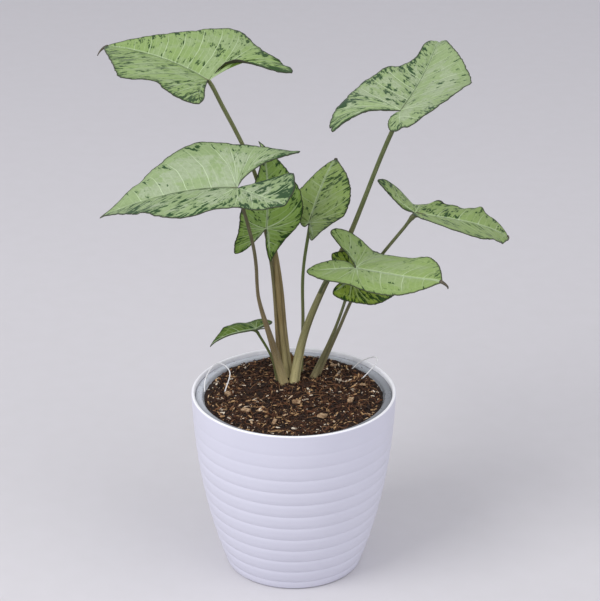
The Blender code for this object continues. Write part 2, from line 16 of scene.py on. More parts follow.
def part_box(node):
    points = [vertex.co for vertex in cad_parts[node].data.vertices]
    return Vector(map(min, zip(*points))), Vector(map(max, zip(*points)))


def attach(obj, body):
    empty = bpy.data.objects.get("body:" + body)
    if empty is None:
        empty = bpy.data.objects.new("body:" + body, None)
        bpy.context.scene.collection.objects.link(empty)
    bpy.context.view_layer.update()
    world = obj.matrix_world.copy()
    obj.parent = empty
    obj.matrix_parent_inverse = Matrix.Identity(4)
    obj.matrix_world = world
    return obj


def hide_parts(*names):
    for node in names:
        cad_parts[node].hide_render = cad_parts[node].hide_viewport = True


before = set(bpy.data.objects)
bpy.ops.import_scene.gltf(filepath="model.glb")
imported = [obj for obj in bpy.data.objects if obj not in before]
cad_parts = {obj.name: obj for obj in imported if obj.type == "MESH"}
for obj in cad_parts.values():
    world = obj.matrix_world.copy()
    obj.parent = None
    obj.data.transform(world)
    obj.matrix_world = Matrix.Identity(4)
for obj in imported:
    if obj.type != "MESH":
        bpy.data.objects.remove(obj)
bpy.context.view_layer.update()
MM = 0.001

# Camera: where it stands, how far it looks down and to the right in degrees, and its lens in mm
CAMERA_PLACE = (0, -1.144, 0.682)
CAMERA_PITCH = 23.59
CAMERA_YAW = 0.20
CAMERA_LENS = 120
CAMERA_SENSOR = 36
FLOOR_REACH = 3.0  # from the planter to the floor's edge

# Planter
POT_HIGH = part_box("outer_pot")[1]
POT_HEIGHT = POT_HIGH.z
RIM_RADIUS = POT_HIGH.x
BASE_RADIUS = 43.6 * MM
POT_WALL = 2.2 * MM
POT_FLOOR = 2.6 * MM
RIB_PITCH = 9.18 * MM
TOP_GROOVE_HEIGHT = 88.5 * MM
RIB_DEPTH = 0.6 * MM
# (ribs above the top deep groove, how deep a groove is there as a share of RIB_DEPTH)
RIB_FADE = ((-8, 1.15), (-0.5, 0.95), (0.5, 0.6), (1.5, 0.35), (2.5, 0.2), (2.9, 0))
# the brighter white painted on the rim's top and inner wall as painted light
RIM_PAINTED_WHITE = (0.93, 0.93, 0.97)

# Liner and mix
LINER_LOW, LINER_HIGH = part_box("inner_pot")
LINER_FOOT_RADIUS = 37 * MM
LINER_MOUTH_RADIUS = 59 * MM
LINER_WALL = 1.0 * MM
LINER_DROP = 1.0 * MM  # its rounded lip lies this far below the solid's
LIP_EDGE = ((-0.5, -1.1), (0, -0.8), (0, -0.3), (-0.4, 0))  # mm outward and up, from the lip's edge
LIP_INSIDE = ((1.6, 0), (0.9, -0.25), (0.35, -1.2), (0, -2.4), (-0.5, -2.7), (-0.6, -3.4))  # from its mouth
MIX_LOW, MIX_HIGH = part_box("potting_mix")
MIX_RADIUS = MIX_HIGH.x
MOUND_CENTRE = (2 * MM, 18 * MM)
MOUND_SPREAD = 30 * MM
MOUND = 2.5 * MM
MIX_EDGE_HEIGHT = 115.5 * MM
MIX_LUMPS = ((0.7, 9), (0.7, 3.6), (0.45, 1.5))  # mm high and apart
MIX_REAR_RISE = 1.9 * MM  # the mix stands this much higher against the far wall
CHIP_SHARES = (0.8, 0.9, 1.2)  # size of a bark chip against its solid's box
CHIP_SEED = 11
LITTER_SEED = 7
FLAKES = 3600  # how many are strewn
CRUMBS = 5200
FIBRES = 620
WALL_GAP = 0.3 * MM  # flakes keep this far from the liner

# Blades
BLADE_THICKNESS = 0.45 * MM
BLADE_RINGS = 24
OUTLINE_POINTS = 601
MIDRIB_STEPS = 160
LOBE_STEPS = 60
PAST_TIP = 1.04  # the midrib's line runs on to this share of its length
NOD_FROM = 0.75  # share of the midrib from which a blade nods
DRIP_INSIDE = 0.03  # share of the midrib over which a dry tip lies in the blade
EDGE_ROUGHNESS = 0.0045  # as a share of the distance from the vein's foot
ROUGH_RATES = (61, 137, 229)
CRINKLE_RATES = (50, 85)
QUILT = 0.45  # relief of a blade 100 mm long, in mm: the swell between side veins
CHANNEL = 0.5  # the groove along the midrib
CRINKLE = 0.14  # and the small waves of the edge
FRONT_AT = (0.86, 0.62, 0.34, 0.06)  # shares of the midrib at which a half's width is given
INNER_AT = (0.8, 0.45, 0.16)  # shares of a lobe at which its inner edge is given
LOBE_RIB_IN = 0.06  # the lobe's rib keeps this far inside that edge, as a share of the lobe


@dataclass
class Side:
    """One half of a blade, seen from above with the tip ahead."""

    width: float  # mm from the midrib to the edge
    lobe: float  # mm from the seat to the tip of the back lobe
    spread: float  # degrees between the lobe and the line of the midrib
    full: float  # bulge of the lobe's outer edge, as a share of that edge
    fold: float  # degrees that the half rises from the midrib
    curl: float  # degrees more at its edge
    lift: float  # degrees more at the end of the lobe
    bend: float  # degrees that the lobe hangs down towards its end
    dark: float = 0.3  # how densely the half is blotched, 0 to 1
    lobe_dark: float = 0.6  # and its lobe
    front: tuple = (0.22, 0.66, 0.98, 0.93)  # shares of the width, at FRONT_AT
    inner: tuple = (0.13, 0.16, 0.08)  # inner edge to the lobe's axis, as shares of the lobe, at INNER_AT
    blunt: float = 0  # 0 for a pointed lobe, 1 for a square end
    rolled_shade: float = 0  # how much darker the lobe's inner edge is painted: painted shade where the rolled-up edge shows its shaded underside
    waves: tuple = ()  # (place on the margin, height in mm, reach) of each; the place is 0 at the tip,
    # 0.55 at the widest part of the half, 1 at the tip of the lobe and 2 at the seat


@dataclass
class Leaf:
    """How a blade points and bends, in degrees, and its colouring."""

    heading: float  # of the tip, anticlockwise from +X
    pitch: float
    roll: float  # left half down
    length: float  # mm from the seat to the tip
    arch: float  # bend down near the seat
    droop: float  # and near the tip
    twist: float
    sickle: float  # sideways bend of the midrib
    nod: float  # how far the last quarter bends down
    green: float  # 0 is silvery mint, 1 is full green
    yellow: float  # 0 to 1
    left: Side
    right: Side
    rib: float = 0.2  # how dark the groove of the midrib is painted: painted shade in the groove
    neck: float = 0.3  # how dark the edges look beside the seat
    drip: tuple = ()  # dry tip beyond the blade's own: mm long, and degrees it bends down and to the left
    olive: float = 0  # how far the top takes the underside's colour, 0 to 1


LEAVES = {
    "top_left": Leaf(
        118, 2, 11, 114, 0, 0, -8, 25, 10, 0.3, 0.35,
        Side(43, 47, 35, 0.08, 19, -9, 0, 4, 0.52, 0.7,
             (0.32, 0.7, 1.0, 0.82), (0.06, 0.02, 0),
             waves=((0.6, -1.5, 0.06), (0.76, 1, 0.06), (1.92, 2, 0.07))),
        Side(42, 53, 65, 0.08, 20, -32, -13, -12, 0.35, 1.0,
             (0.14, 0.5, 1.06, 1.04), (0.12, -0.14, -0.12), blunt=1, rolled_shade=0.7,
             waves=((0.62, 3, 0.08), (0.88, -2, 0.06), (1.72, 3.5, 0.16))),
        neck=0.95, drip=(8, 50, 70),
    ),
    "large_left": Leaf(
        166, -3, 25, 97, 20, 6, 2, 6, 0, 0, 0.05,
        Side(35, 51, 35, 0.04, 23, -10, 0, -20, 0.6, 0.65,
             (0.22, 0.63, 1.0, 0.86), (0.3, 0.5, 0.36), blunt=0.5, rolled_shade=0.3,
             waves=((0.48, 2, 0.06), (0.66, -2.5, 0.06), (0.8, 2, 0.06), (1.45, 5, 0.25))),
        Side(33, 48, 52, 0.02, 22, -31, -28, -26, 0.15, 0.75,
             (0.14, 0.64, 1.08, 1.0), (0.03, -0.02, -0.03), waves=((0.3, -1.5, 0.05), (0.6, 3, 0.14))),
    ),
    "centre": Leaf(
        116, 97, -3, 58.5, 0, 30, 25, 0, 10, 0.72, 0.45,
        Side(22, 25, 54, 0.09, 6, -9, -8, 12, 0.45, 0.5, (0.08, 0.45, 0.92, 0.93), (0.08, 0.06, 0.02)),
        Side(23, 26, 11, -0.04, 13, -5, -10, 6, 0.48, 0.6, (0.22, 0.66, 1.02, 1.0), (0.06, 0.08, 0.04)),
    ),
    "small_centre": Leaf(
        73, 33, 14, 60, 0, 22, 12, -3, 10, 0.3, 0.7,
        Side(20, 4, 45, 0.1, 0, -12, 0, 10, 0.28, 0.2, (0.18, 0.5, 0.82, 0.42)),
        Side(25, 26, 33, -0.02, 15, -12, 26, -8, 0.48, 0.4, (0.24, 0.68, 1.0, 1.06), (0.08, 0.1, 0.06)),
        drip=(2.5, 40, 0),
    ),
    "top_right": Leaf(
        70, 7, 3, 104, 0, -19, 0, 4, 75, 0.03, 0.15,
        Side(33, 45, 60, 0.1, 13, -22, -20, -4, 0.5, 0.8,
             (0.22, 0.36, 1.06, 1.23), (0, -0.06, 0.02), blunt=0.5, waves=((0.5, 3, 0.06),)),
        Side(38, 27, 17, 0.2, 20, -11, 10, 21, 0.25, 0.6,
             (0.2, 0.6, 0.94, 0.86), (0.26, 0.32, 0.24), blunt=0.8, waves=((0.55, -7, 0.1),)),
    ),
    "right": Leaf(
        3, -11, -4, 71, 0, 38, 23, 20, 0, 0.22, 0.5,
        Side(23, 36, 48, 0.28, 6, -22, 30, -3, 0.45, 0.75,
             (0.4, 0.7, 0.72, 0.72), (0.05, 0.1, 0.12),
             waves=((0.34, 3, 0.04), (0.48, -1.5, 0.05), (0.64, 3, 0.03), (0.75, -1.5, 0.05),
                    (0.9, 2.5, 0.08))),
        Side(26, 6, 70, 0.12, 14, 1, 0, 6, 0.45, 0.5,
             (0.36, 0.84, 1.04, 0.75), waves=((0.2, -2, 0.05), (0.4, 1.5, 0.05))),
        neck=0.8, drip=(3, 60, 0),
    ),
    "front_right": Leaf(
        -27, 1, -17, 67, -6, -27, 19, -19, 25, 0.22, 0.5,
        Side(25, 36, 39, 0.24, -6, -23, 31, -18, 0.25, 0.35,
             (0.36, 0.78, 0.86, 1.02), (0, -0.04, -0.02), waves=((0.46, 2, 0.1), (0.85, 2, 0.12))),
        Side(24, 31, 20, 0.08, 5, 1, -8, 0, 0.15, 0.25,
             (0.34, 0.68, 0.82, 0.76), (0.2, 0.3, 0.2), blunt=0.5),
        drip=(8, 150, 0),
    ),
    "under_right": Leaf(
        10, -4, -58, 42, 0, 20, 0, 0, 0, 0.8, 1.4,
        Side(18, 20, 50, 0.1, 8, -10, 0, 0, 0.55, 0.5),
        Side(17, 16, 35, 0.1, 8, -8, 0, 0, 0.55, 0.5),
    ),
    "low_left": Leaf(
        189, -5, -1, 32, 0, 37, 5, 6, 0, 1.0, 0.6,
        Side(12, 7, 32, 0.12, 22, -3, 0, 10, 0.45, 0.4),
        Side(12, 15, 38, 0.14, 12, -7, -6, 19, 0.45, 0.4, waves=((0.42, 1.4, 0.08), (0.7, -1.4, 0.08))),
        olive=0.75,
    ),
}


# --- meshes ---


def added(name, data):
    """A new object in the scene; its data take its name."""
    data.name = name
    obj = bpy.data.objects.new(name, data)
    bpy.context.scene.collection.objects.link(obj)
    return obj


def piece(name, mesh, finish, slot, *stands_for):
    """An object that rides on the plant's one body and stands for these solids."""
    mesh.materials.append(finish)
    obj = added(name, mesh)
    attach(obj, "root")
    if stands_for:
        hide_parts(*stands_for)
    return obj


def mesh_of(points, faces, corner_data=None, smooth=True):
    """A mesh from points (n, 3) and faces; corner_data has a value for each corner of each face."""
    mesh = bpy.data.meshes.new("mesh")
    mesh.from_pydata(points, [], faces)
    for label, values in (corner_data or {}).items():
        layer = mesh.attributes.new(label, "FLOAT", "CORNER")
        layer.data.foreach_set("value", np.asarray(values, np.float32))
    if smooth:
        mesh.shade_smooth()
    return mesh


def woven(grids):
    """One mesh from grids of points (rows, columns, 3) with named values; points that meet are joined."""
    places = np.concatenate([points.reshape(-1, 3) for points, _ in grids])
    _, first, joined = np.unique(np.round(places, 7), axis=0, return_index=True, return_inverse=True)
    joined = joined.reshape(-1)
    faces = []
    corners = []
    start = 0
    for points, _ in grids:
        number = start + np.arange(points.size // 3).reshape(points.shape[:2])
        quads = np.stack([number[:-1, :-1], number[:-1, 1:], number[1:, 1:], number[1:, :-1]], axis=-1)
        for quad in quads.reshape(-1, 4):
            kept = [corner for k, corner in enumerate(quad) if joined[corner] != joined[quad[k - 1]]]
            if len(kept) > 2:
                faces.append([joined[corner] for corner in kept])
                corners += kept
        start += number.size
    values = {}
    for label in grids[0][1]:
        values[label] = np.concatenate([data[label].reshape(-1) for _, data in grids])[corners]
    return mesh_of(places[first], faces, values)


def turned(profile, segments):
    """The closed profile [(radius, height)] turned about Z."""
    radius, height = np.array([*profile, profile[0]]).T[:, :, None]
    angles = 2 * pi * (np.arange(segments + 1) % segments) / segments
    grid = np.stack([radius * np.cos(angles), radius * np.sin(angles), height + 0 * angles], axis=-1)
    mesh = woven([(grid, {})])
    mesh.set_sharp_from_angle(angle=radians(50))
    return mesh


def unit(vectors, least=0):
    """Each row at a length of 1; least is added to the lengths where a row may be zero."""
    return vectors / (np.linalg.norm(vectors, axis=1) + least)[:, None]


def read_off(table, given, at):
    """The table's columns, given at some places, at other places."""
    return np.stack([np.interp(at, given, column) for column in np.transpose(table)], axis=-1)


def smooth_path(points, count):
    """count points along a Catmull-Rom curve, evenly spaced."""
    given = np.array(points, float)
    ends = np.vstack([2 * given[0] - given[1], given, 2 * given[-1] - given[-2]])
    t = np.linspace(0, 1, 24, endpoint=False)[:, None]
    blend = 3 * t**2 - 2 * t**3
    fine = []
    for p0, p1, p2, p3 in zip(ends, ends[1:], ends[2:], ends[3:]):
        start = (1 - blend) * p1 + (t**3 - 2 * t**2 + t) * (p2 - p0) / 2
        fine.append(start + blend * p2 + (t**3 - t**2) * (p3 - p1) / 2)
    fine = np.vstack([*fine, given[-1:]])
    along = np.concatenate([[0], np.cumsum(np.linalg.norm(np.diff(fine, axis=0), axis=1))])
    return read_off(fine, along, np.linspace(0, along[-1], count))


# --- materials ---


class Shader:
    """A material and short ways to add nodes to it. A socket or a number may be given for any input."""

    def __init__(self, name):
        self.material = bpy.data.materials.new(name)
        self.material.use_nodes = True
        self.tree = self.material.node_tree
        self.surface = self.tree.nodes["Principled BSDF"]

    def put(self, socket, value):
        if isinstance(value, bpy.types.NodeSocket):
            self.tree.links.new(value, socket)
        elif socket.type == "RGBA":
            socket.default_value = (*value, 1)
        else:
            socket.default_value = value

    def node(self, kind, inputs=None, **settings):
        made = self.tree.nodes.new("ShaderNode" + kind)
        for setting, value in settings.items():
            setattr(made, setting, value)
        for key, value in (inputs or {}).items():
            self.put(made.inputs[key], value)
        return made

    def math(self, operation, a, b=0.0, c=0.0):
        return self.node("Math", {0: a, 1: b, 2: c}, operation=operation).outputs[0]

    def times(self, a, b, plus=None):
        """a times b, and then plus that, if given."""
        if plus is None:
            return self.math("MULTIPLY", a, b)
        return self.math("MULTIPLY_ADD", a, b, plus)

    def value(self, label):
        return self.node("Attribute", attribute_name=label).outputs["Fac"]

    def place(self):
        return self.node("NewGeometry").outputs["Position"]

    def sides(self):
        """The place's x, y and z."""
        return self.node("SeparateXYZ", {"Vector": self.place()}).outputs

    def vector(self, x, y=0.0, z=0.0):
        return self.node("CombineXYZ", {"X": x, "Y": y, "Z": z}).outputs[0]

    def noise(self, where, scale, detail=2.0, rough=0.5):
        inputs = {"Vector": where, "Scale": scale, "Detail": detail, "Roughness": rough}
        return self.node("TexNoise", inputs).outputs["Fac"]

    def grain(self, scale, detail=2.0, rough=0.5):
        """Noise fixed to the place, with scale marks in a metre."""
        return self.noise(self.place(), scale, detail, rough)

    def step(self, value, low, high, strength=None):
        """0 below low, 1 or strength above high, smooth between; turned round when high is under low."""
        inputs = {"Value": value, "From Min": low, "From Max": high}
        made = self.node("MapRange", inputs, interpolation_type="SMOOTHSTEP").outputs["Result"]
        return made if strength is None else self.times(made, strength)

    def mix(self, share, a, b):
        made = self.node("Mix", data_type="RGBA")
        self.put(made.inputs[0], share)
        self.put(made.inputs[6], a)
        self.put(made.inputs[7], b)
        return made.outputs[2]

    def bump(self, height, distance, strength=1.0, under=None):
        inputs = {"Height": height, "Distance": distance, "Strength": strength}
        if under:
            inputs["Normal"] = under
        return self.node("Bump", inputs).outputs[0]

    def finish(self, colour, rough, normal=None, **inputs):
        """The material, with its surface's inputs set; in their names, _ stands for a space."""
        inputs |= {"Base Color": colour, "Roughness": rough}
        if normal:
            inputs["Normal"] = normal
        for name, value in inputs.items():
            self.put(self.surface.inputs[name.replace("_", " ")], value)
        return self.material


def srgb(red, green, blue):
    """A colour given as on a colour card, 0 to 255, in the shader's linear numbers."""
    shares = [channel / 255 for channel in (red, green, blue)]
    return tuple(c / 12.92 if c <= 0.04045 else ((c + 0.055) / 1.055) ** 2.4 for c in shares)


def blended(a, b, share):
    """The colour that is this share of the way from a to b."""
    return tuple(x + (y - x) * share for x, y in zip(a, b))


SILVER = srgb(160, 174, 143)
GREEN = srgb(98, 142, 48)
YELLOW = srgb(148, 170, 62)
DEEP = srgb(34, 66, 16)
COOL_DEEP = srgb(42, 74, 44)
MARGIN = srgb(60, 62, 46)
VEIN = srgb(198, 216, 176)
OLIVE = srgb(74, 92, 34)
VEIN_SPACING = 7.0  # mm, typical: it turns vein numbers into distances across the veins
HALF_ASIDE = 40.0  # mm that each half is moved to its side in the noise, so that its blotches are its own
LEAF_ASIDE = 10.0  # and each leaf after the one before


def leaf_top(name, leaf, number):
    """Waxy: silvery between pale veins, streaked green, splashed dark along them, with a dark margin.

    Distances in it are in mm: out from the foot of the vein, to the edge, and from the nearest vein.
    """
    s = Shader("leaf_top_" + name)
    labels = ("vein", "spacing", "out", "edge", "dark", "near")
    vein, spacing, out, edge, dark, near = [s.value(label) for label in labels]
    across = s.times(vein, VEIN_SPACING)
    half = s.times(s.value("half"), HALF_ASIDE, LEAF_ASIDE * number)

    def streaky(size, stretch, shift, detail=3.0, rough=0.6):
        """Noise with marks this many mm wide, stretched along the veins."""
        where = s.vector(across, s.math("DIVIDE", out, stretch), s.math("ADD", half, shift))
        return s.noise(where, 1 / size, detail, rough)

    def ground_colour(green, yellow):
        return blended(blended(blended(SILVER, GREEN, green), YELLOW, yellow), OLIVE, leaf.olive)

    pale = ground_colour(leaf.green, 0.5 * leaf.yellow)
    fresh = ground_colour(0.3 + 0.7 * leaf.green, 0.1 + 0.5 * leaf.yellow)
    deep = blended(COOL_DEEP, DEEP, min(1, 0.3 + 2 * leaf.green))

    # Ground: pale, greener in streaks, in dark halves, near the edge and towards the tip
    broad = streaky(9.0, 1.6, 0.0, 2.0)
    streaks = streaky(1.3, 3.5, 11.0)
    greener = s.times(s.step(edge, 12.0, 0.0), 0.2, s.math("ADD", broad, s.times(streaks, 0.55)))
    greener = s.times(dark, 0.18, greener)
    greener = s.times(s.step(near, 0.45 * leaf.length, leaf.length), 0.2, greener)
    ground = s.mix(s.step(greener, 0.78, 0.93), pale, fresh)
    mottle = streaky(0.9, 2.2, 71.0, 4.0, 0.7)
    ground = s.mix(s.step(mottle, 0.42, 0.62, 0.4), ground, blended(fresh, deep, 0.25))

    # Veins: side veins that wander a little, two fainter ones between, and one along the edge
    wander = s.times(s.noise(s.vector(out, half), 0.05, 1.0), 0.3, -0.15)
    bent_vein = s.math("ADD", vein, wander)
    from_vein = s.times(s.math("PINGPONG", bent_vein, 0.5), spacing)
    from_small = s.times(s.math("PINGPONG", s.times(bent_vein, 3.0), 0.5), s.math("DIVIDE", spacing, 3.0))
    from_edge_vein = s.math("ABSOLUTE", s.math("SUBTRACT", edge, s.times(broad, 5.0, 1.0)))
    vein_line = s.times(s.step(from_vein, 0.55, 0.15), s.step(streaky(14.0, 4.0, 23.0), 0.25, 0.5))
    lines = s.math("MAXIMUM", vein_line, s.step(from_small, 0.5, 0.1, 0.3))
    lines = s.math("MAXIMUM", lines, s.step(from_edge_vein, 0.45, 0.1, 0.55))
    lines = s.times(lines, s.step(edge, 0.8, 4.0))
    fading = s.step(edge, 0.0, 16.0, 0.38)
    veined = s.mix(s.times(lines, s.math("ADD", fading, 0.2)), ground, VEIN)

    # Blotches: a soft halo and a hard core where flecks and clumps are dense, clear of the veins
    flecks = streaky(1.25, 4.2, 37.0, 3.0, 0.66)
    clumps = streaky(6.0, 1.8, 51.0, 2.0)
    density = s.math("ADD", s.times(flecks, 0.68), s.times(clumps, 0.32))
    need = s.times(s.step(edge, 10.0, 1.0), -0.04, s.times(dark, -0.19, 0.655))
    over = s.math("SUBTRACT", density, need)
    off_vein = s.step(from_vein, 0.1, 0.7)
    soft = s.times(s.step(over, -0.05, 0.01), off_vein)
    hard = s.times(s.step(over, 0.002, 0.02), off_vein)
    mottled = s.mix(s.times(soft, 0.7), veined, blended(fresh, deep, 0.45))
    splashed = s.mix(s.times(hard, 0.96), mottled, deep)

    # Midrib, ragged dark border and thin margin
    ribbed = s.mix(s.step(out, 1.3, 0.5, 0.55), splashed, VEIN)
    # painted shade: a thin dark line down the groove of the midrib
    ribbed = s.mix(s.step(out, 0.45, 0.2, leaf.rib), ribbed, deep)
    ragged = s.times(s.math("SUBTRACT", flecks, 0.5), -5.0, edge)
    reach = s.times(s.times(dark, dark), 3.0, 1.2)
    border = s.times(s.step(ragged, reach, 0.3), s.times(dark, 0.8, 0.2))
    neck = s.times(s.step(near, 11.0, 6.0), s.step(edge, 3.2, 1.4))
    border = s.math("MAXIMUM", border, s.times(neck, leaf.neck))
    bordered = s.mix(border, ribbed, deep)
    margined = s.mix(s.step(edge, 0.8, 0.4, 0.85), bordered, MARGIN)

    groove = s.math("MAXIMUM", s.step(from_vein, 1.0, 0.0), s.step(out, 1.1, 0.0))
    relief = s.bump(s.grain(900.0), 0.00012, 0.35)
    relief = s.bump(groove, -0.0004, 0.6, relief)
    return s.finish(margined, 0.45, relief, Specular_IOR_Level=0.2)


def leaf_underside(name):
    """Duller and more olive, with raised veins."""
    s = Shader("leaf_under_" + name)
    from_vein = s.times(s.math("PINGPONG", s.value("vein"), 0.5), s.value("spacing"))
    ground = s.mix(s.step(s.grain(160.0, 3.0), 0.35, 0.7), OLIVE, blended(OLIVE, GREEN, 0.35))
    veined = s.mix(s.step(from_vein, 0.9, 0.2, 0.25), ground, YELLOW)
    margined = s.mix(s.step(s.value("edge"), 0.8, 0.4), veined, MARGIN)
    relief = s.bump(s.step(from_vein, 1.2, 0.0), 0.0005, 0.6)
    return s.finish(margined, 0.55, relief, Specular_IOR_Level=0.2)


# --- blades ---


def turn(axis, degrees):
    """The 3 x 3 matrix that turns about this axis."""
    return np.array(Matrix.Rotation(radians(degrees), 3, axis))


def seat_axes(leaf):
    """Axes at the seat, as columns: along the midrib, to the left, up out of the blade."""
    heading = radians(leaf.heading)
    pitch = radians(leaf.pitch)
    along = np.array([cos(heading) * cos(pitch), sin(heading) * cos(pitch), sin(pitch)])
    left = np.array([-sin(heading), cos(heading), 0])
    return np.column_stack([along, left, np.cross(along, left)]) @ turn("X", -leaf.roll)


def line_from(place, axes, turns, step):
    """(distances, places, axes) along a line that turns its axes by turns before each step."""
    line = [(0, place, axes)]
    for k, rotations in enumerate(turns, 1):
        for rotation in rotations:
            axes = axes @ rotation
        place = place + axes[:, 0] * step
        line.append((k * abs(step), place, axes))
    return [np.array(column) for column in zip(*line)]


def midrib(leaf):
    """The line from the seat to a little past the tip."""
    step = PAST_TIP * leaf.length / MIDRIB_STEPS
    share = step / leaf.length
    turns = []
    for k in range(MIDRIB_STEPS):
        here = (k + 0.5) * share
        nod = leaf.nod * 2 * max(here - NOD_FROM, 0) / (1 - NOD_FROM) ** 2
        bend = (leaf.arch * 2 * (1 - here) + leaf.droop * 2 * here + nod) * share
        turns.append((turn("Z", leaf.sickle * share), turn("Y", bend), turn("X", leaf.twist * share)))
    return line_from(np.zeros(3), seat_axes(leaf), turns, step)


def lobe_line(leaf, side):
    """The line behind the seat, where the lobe bends down as it goes."""
    turns = [(turn("Y", -side.bend / LOBE_STEPS),)] * LOBE_STEPS
    return line_from(np.zeros(3), seat_axes(leaf), turns, -side.lobe / LOBE_STEPS)


def lobe_ways(side):
    """Along the lobe from its tip to the seat, and square to it outward, in the flat half."""
    spread = radians(side.spread)
    return np.array([cos(spread), -sin(spread)]), np.array([sin(spread), cos(spread)])


def on_line(line, distance):
    """Places and axes at these distances along a line."""
    distances, places, axes = line
    found = read_off(np.concatenate([places, axes.reshape(-1, 9)], axis=1), distances, distance)
    return found[..., :3], found[..., 3:].reshape(*distance.shape, 3, 3)


def bent(leaf, side, hand, x, y, lift):
    """Places, in mm from the seat, of flat points; hand is +1 for the left half and -1 for the right."""
    front, front_axes = on_line(midrib(leaf), np.maximum(x, 0))
    back, back_axes = on_line(lobe_line(leaf, side), np.maximum(-x, 0))
    ahead = (x >= 0)[..., None]
    place = np.where(ahead, front, back)
    axes = np.where(ahead[..., None], front_axes, back_axes)
    rise = np.radians(side.fold + side.lift * np.clip(-x / side.lobe, 0, 1))
    rate = radians(side.curl or 0.01) / side.width
    slope = rise + rate * y
    out = (np.sin(slope) - np.sin(rise)) / rate - lift * np.sin(slope)
    up = (np.cos(rise) - np.cos(slope)) / rate + lift * np.cos(slope)
    return place + axes[..., 1] * (hand * out)[..., None] + axes[..., 2] * up[..., None]


def half_outline(leaf, side):
    """Edge of one half, flat, in mm: x along the midrib, y outward, from the tip round to the seat."""
    forward, outward = lobe_ways(side)
    lobe_tip = -side.lobe * forward
    front = [(along * leaf.length, share * side.width) for along, share in zip(FRONT_AT, side.front)]
    waist = np.array(front[-1])
    edge = lobe_tip - waist
    bulge = np.array([edge[1], -edge[0]]) * side.full
    outer = [waist + 0.5 * edge + bulge, waist + 0.86 * edge + 0.8 * bulge]
    end = [lobe_tip]
    if side.blunt:
        corner = outward * 0.12 * side.lobe * side.blunt
        end = [0.97 * lobe_tip + corner, lobe_tip, 0.97 * lobe_tip - corner]
    inner = [along * lobe_tip - outward * share * side.lobe for along, share in zip(INNER_AT, side.inner)]
    points = [(leaf.length, 0), *front, *outer, *end, *inner, (0, 0)]
    smooth = smooth_path(points, OUTLINE_POINTS)
    waist_at = np.argmin(np.linalg.norm(smooth - waist, axis=1))
    tip_at = np.argmin(np.linalg.norm(smooth - lobe_tip, axis=1))
    return smooth, waist_at, tip_at


def vein_rows(leaf, side):
    """The blade's rows, tip to lobe to seat: foot, end on the edge, bow, vein number, place on the margin
    and share of the way back to the lobe's tip."""
    outline, waist_at, tip_at = half_outline(leaf, side)
    side_veins = max(3, round(leaf.length / 15))
    lobe_veins = max(1, round(side.lobe / 15))
    last = len(outline) - 1
    shoulder_at = waist_at + 0.3 * (tip_at - waist_at)
    # row, point on the edge, foot (mm along the midrib, or less than 0 along the lobe), bow, vein number
    stations = np.array([
        (0, 0, leaf.length, 0.12, 0),
        (66, 0.78 * waist_at, 0, 0.14, side_veins),
        (88, shoulder_at, 0, 0, side_veins + 2),
        (116, tip_at, -0.8 * side.lobe, -0.06, side_veins + 2 + lobe_veins),
        (142, last, 0, 0.04, side_veins + 2 + 2 * lobe_veins),
    ])
    rows = np.arange(stations[-1, 0] + 1)
    at, feet, bow, vein = read_off(stations[:, 1:], stations[:, 0], rows).T
    margin = np.interp(at, [0, 0.62 * waist_at, shoulder_at, tip_at, last], [0, 0.55, 0.8, 1, 2])
    behind = np.interp(at, [0.8 * waist_at, tip_at], [0, 1])
    edge = read_off(outline, np.arange(last + 1), at)
    forward, outward = lobe_ways(side)
    foot = np.where((feet >= 0)[:, None], feet[:, None] * np.array([1, 0]), feet[:, None] * forward)
    clear = [max(LOBE_RIB_IN - share, 0) for share in side.inner]
    aside = np.interp(np.maximum(-feet, 0) / side.lobe, (0, *INNER_AT[::-1], 1), (0, *clear[::-1], 0))
    foot = foot + (aside * side.lobe)[:, None] * outward
    return foot, edge, bow, vein, margin, behind


def ripples(margin, phase, height, rates, fade):
    """Small waves along the margin that fade out at the tip and at the seat."""
    total = sum(np.sin(rate * margin + k * phase) for k, rate in enumerate(rates, 1))
    return height * total * np.clip(fade * margin, 0, 1) * np.clip(fade * (2 - margin), 0, 1)


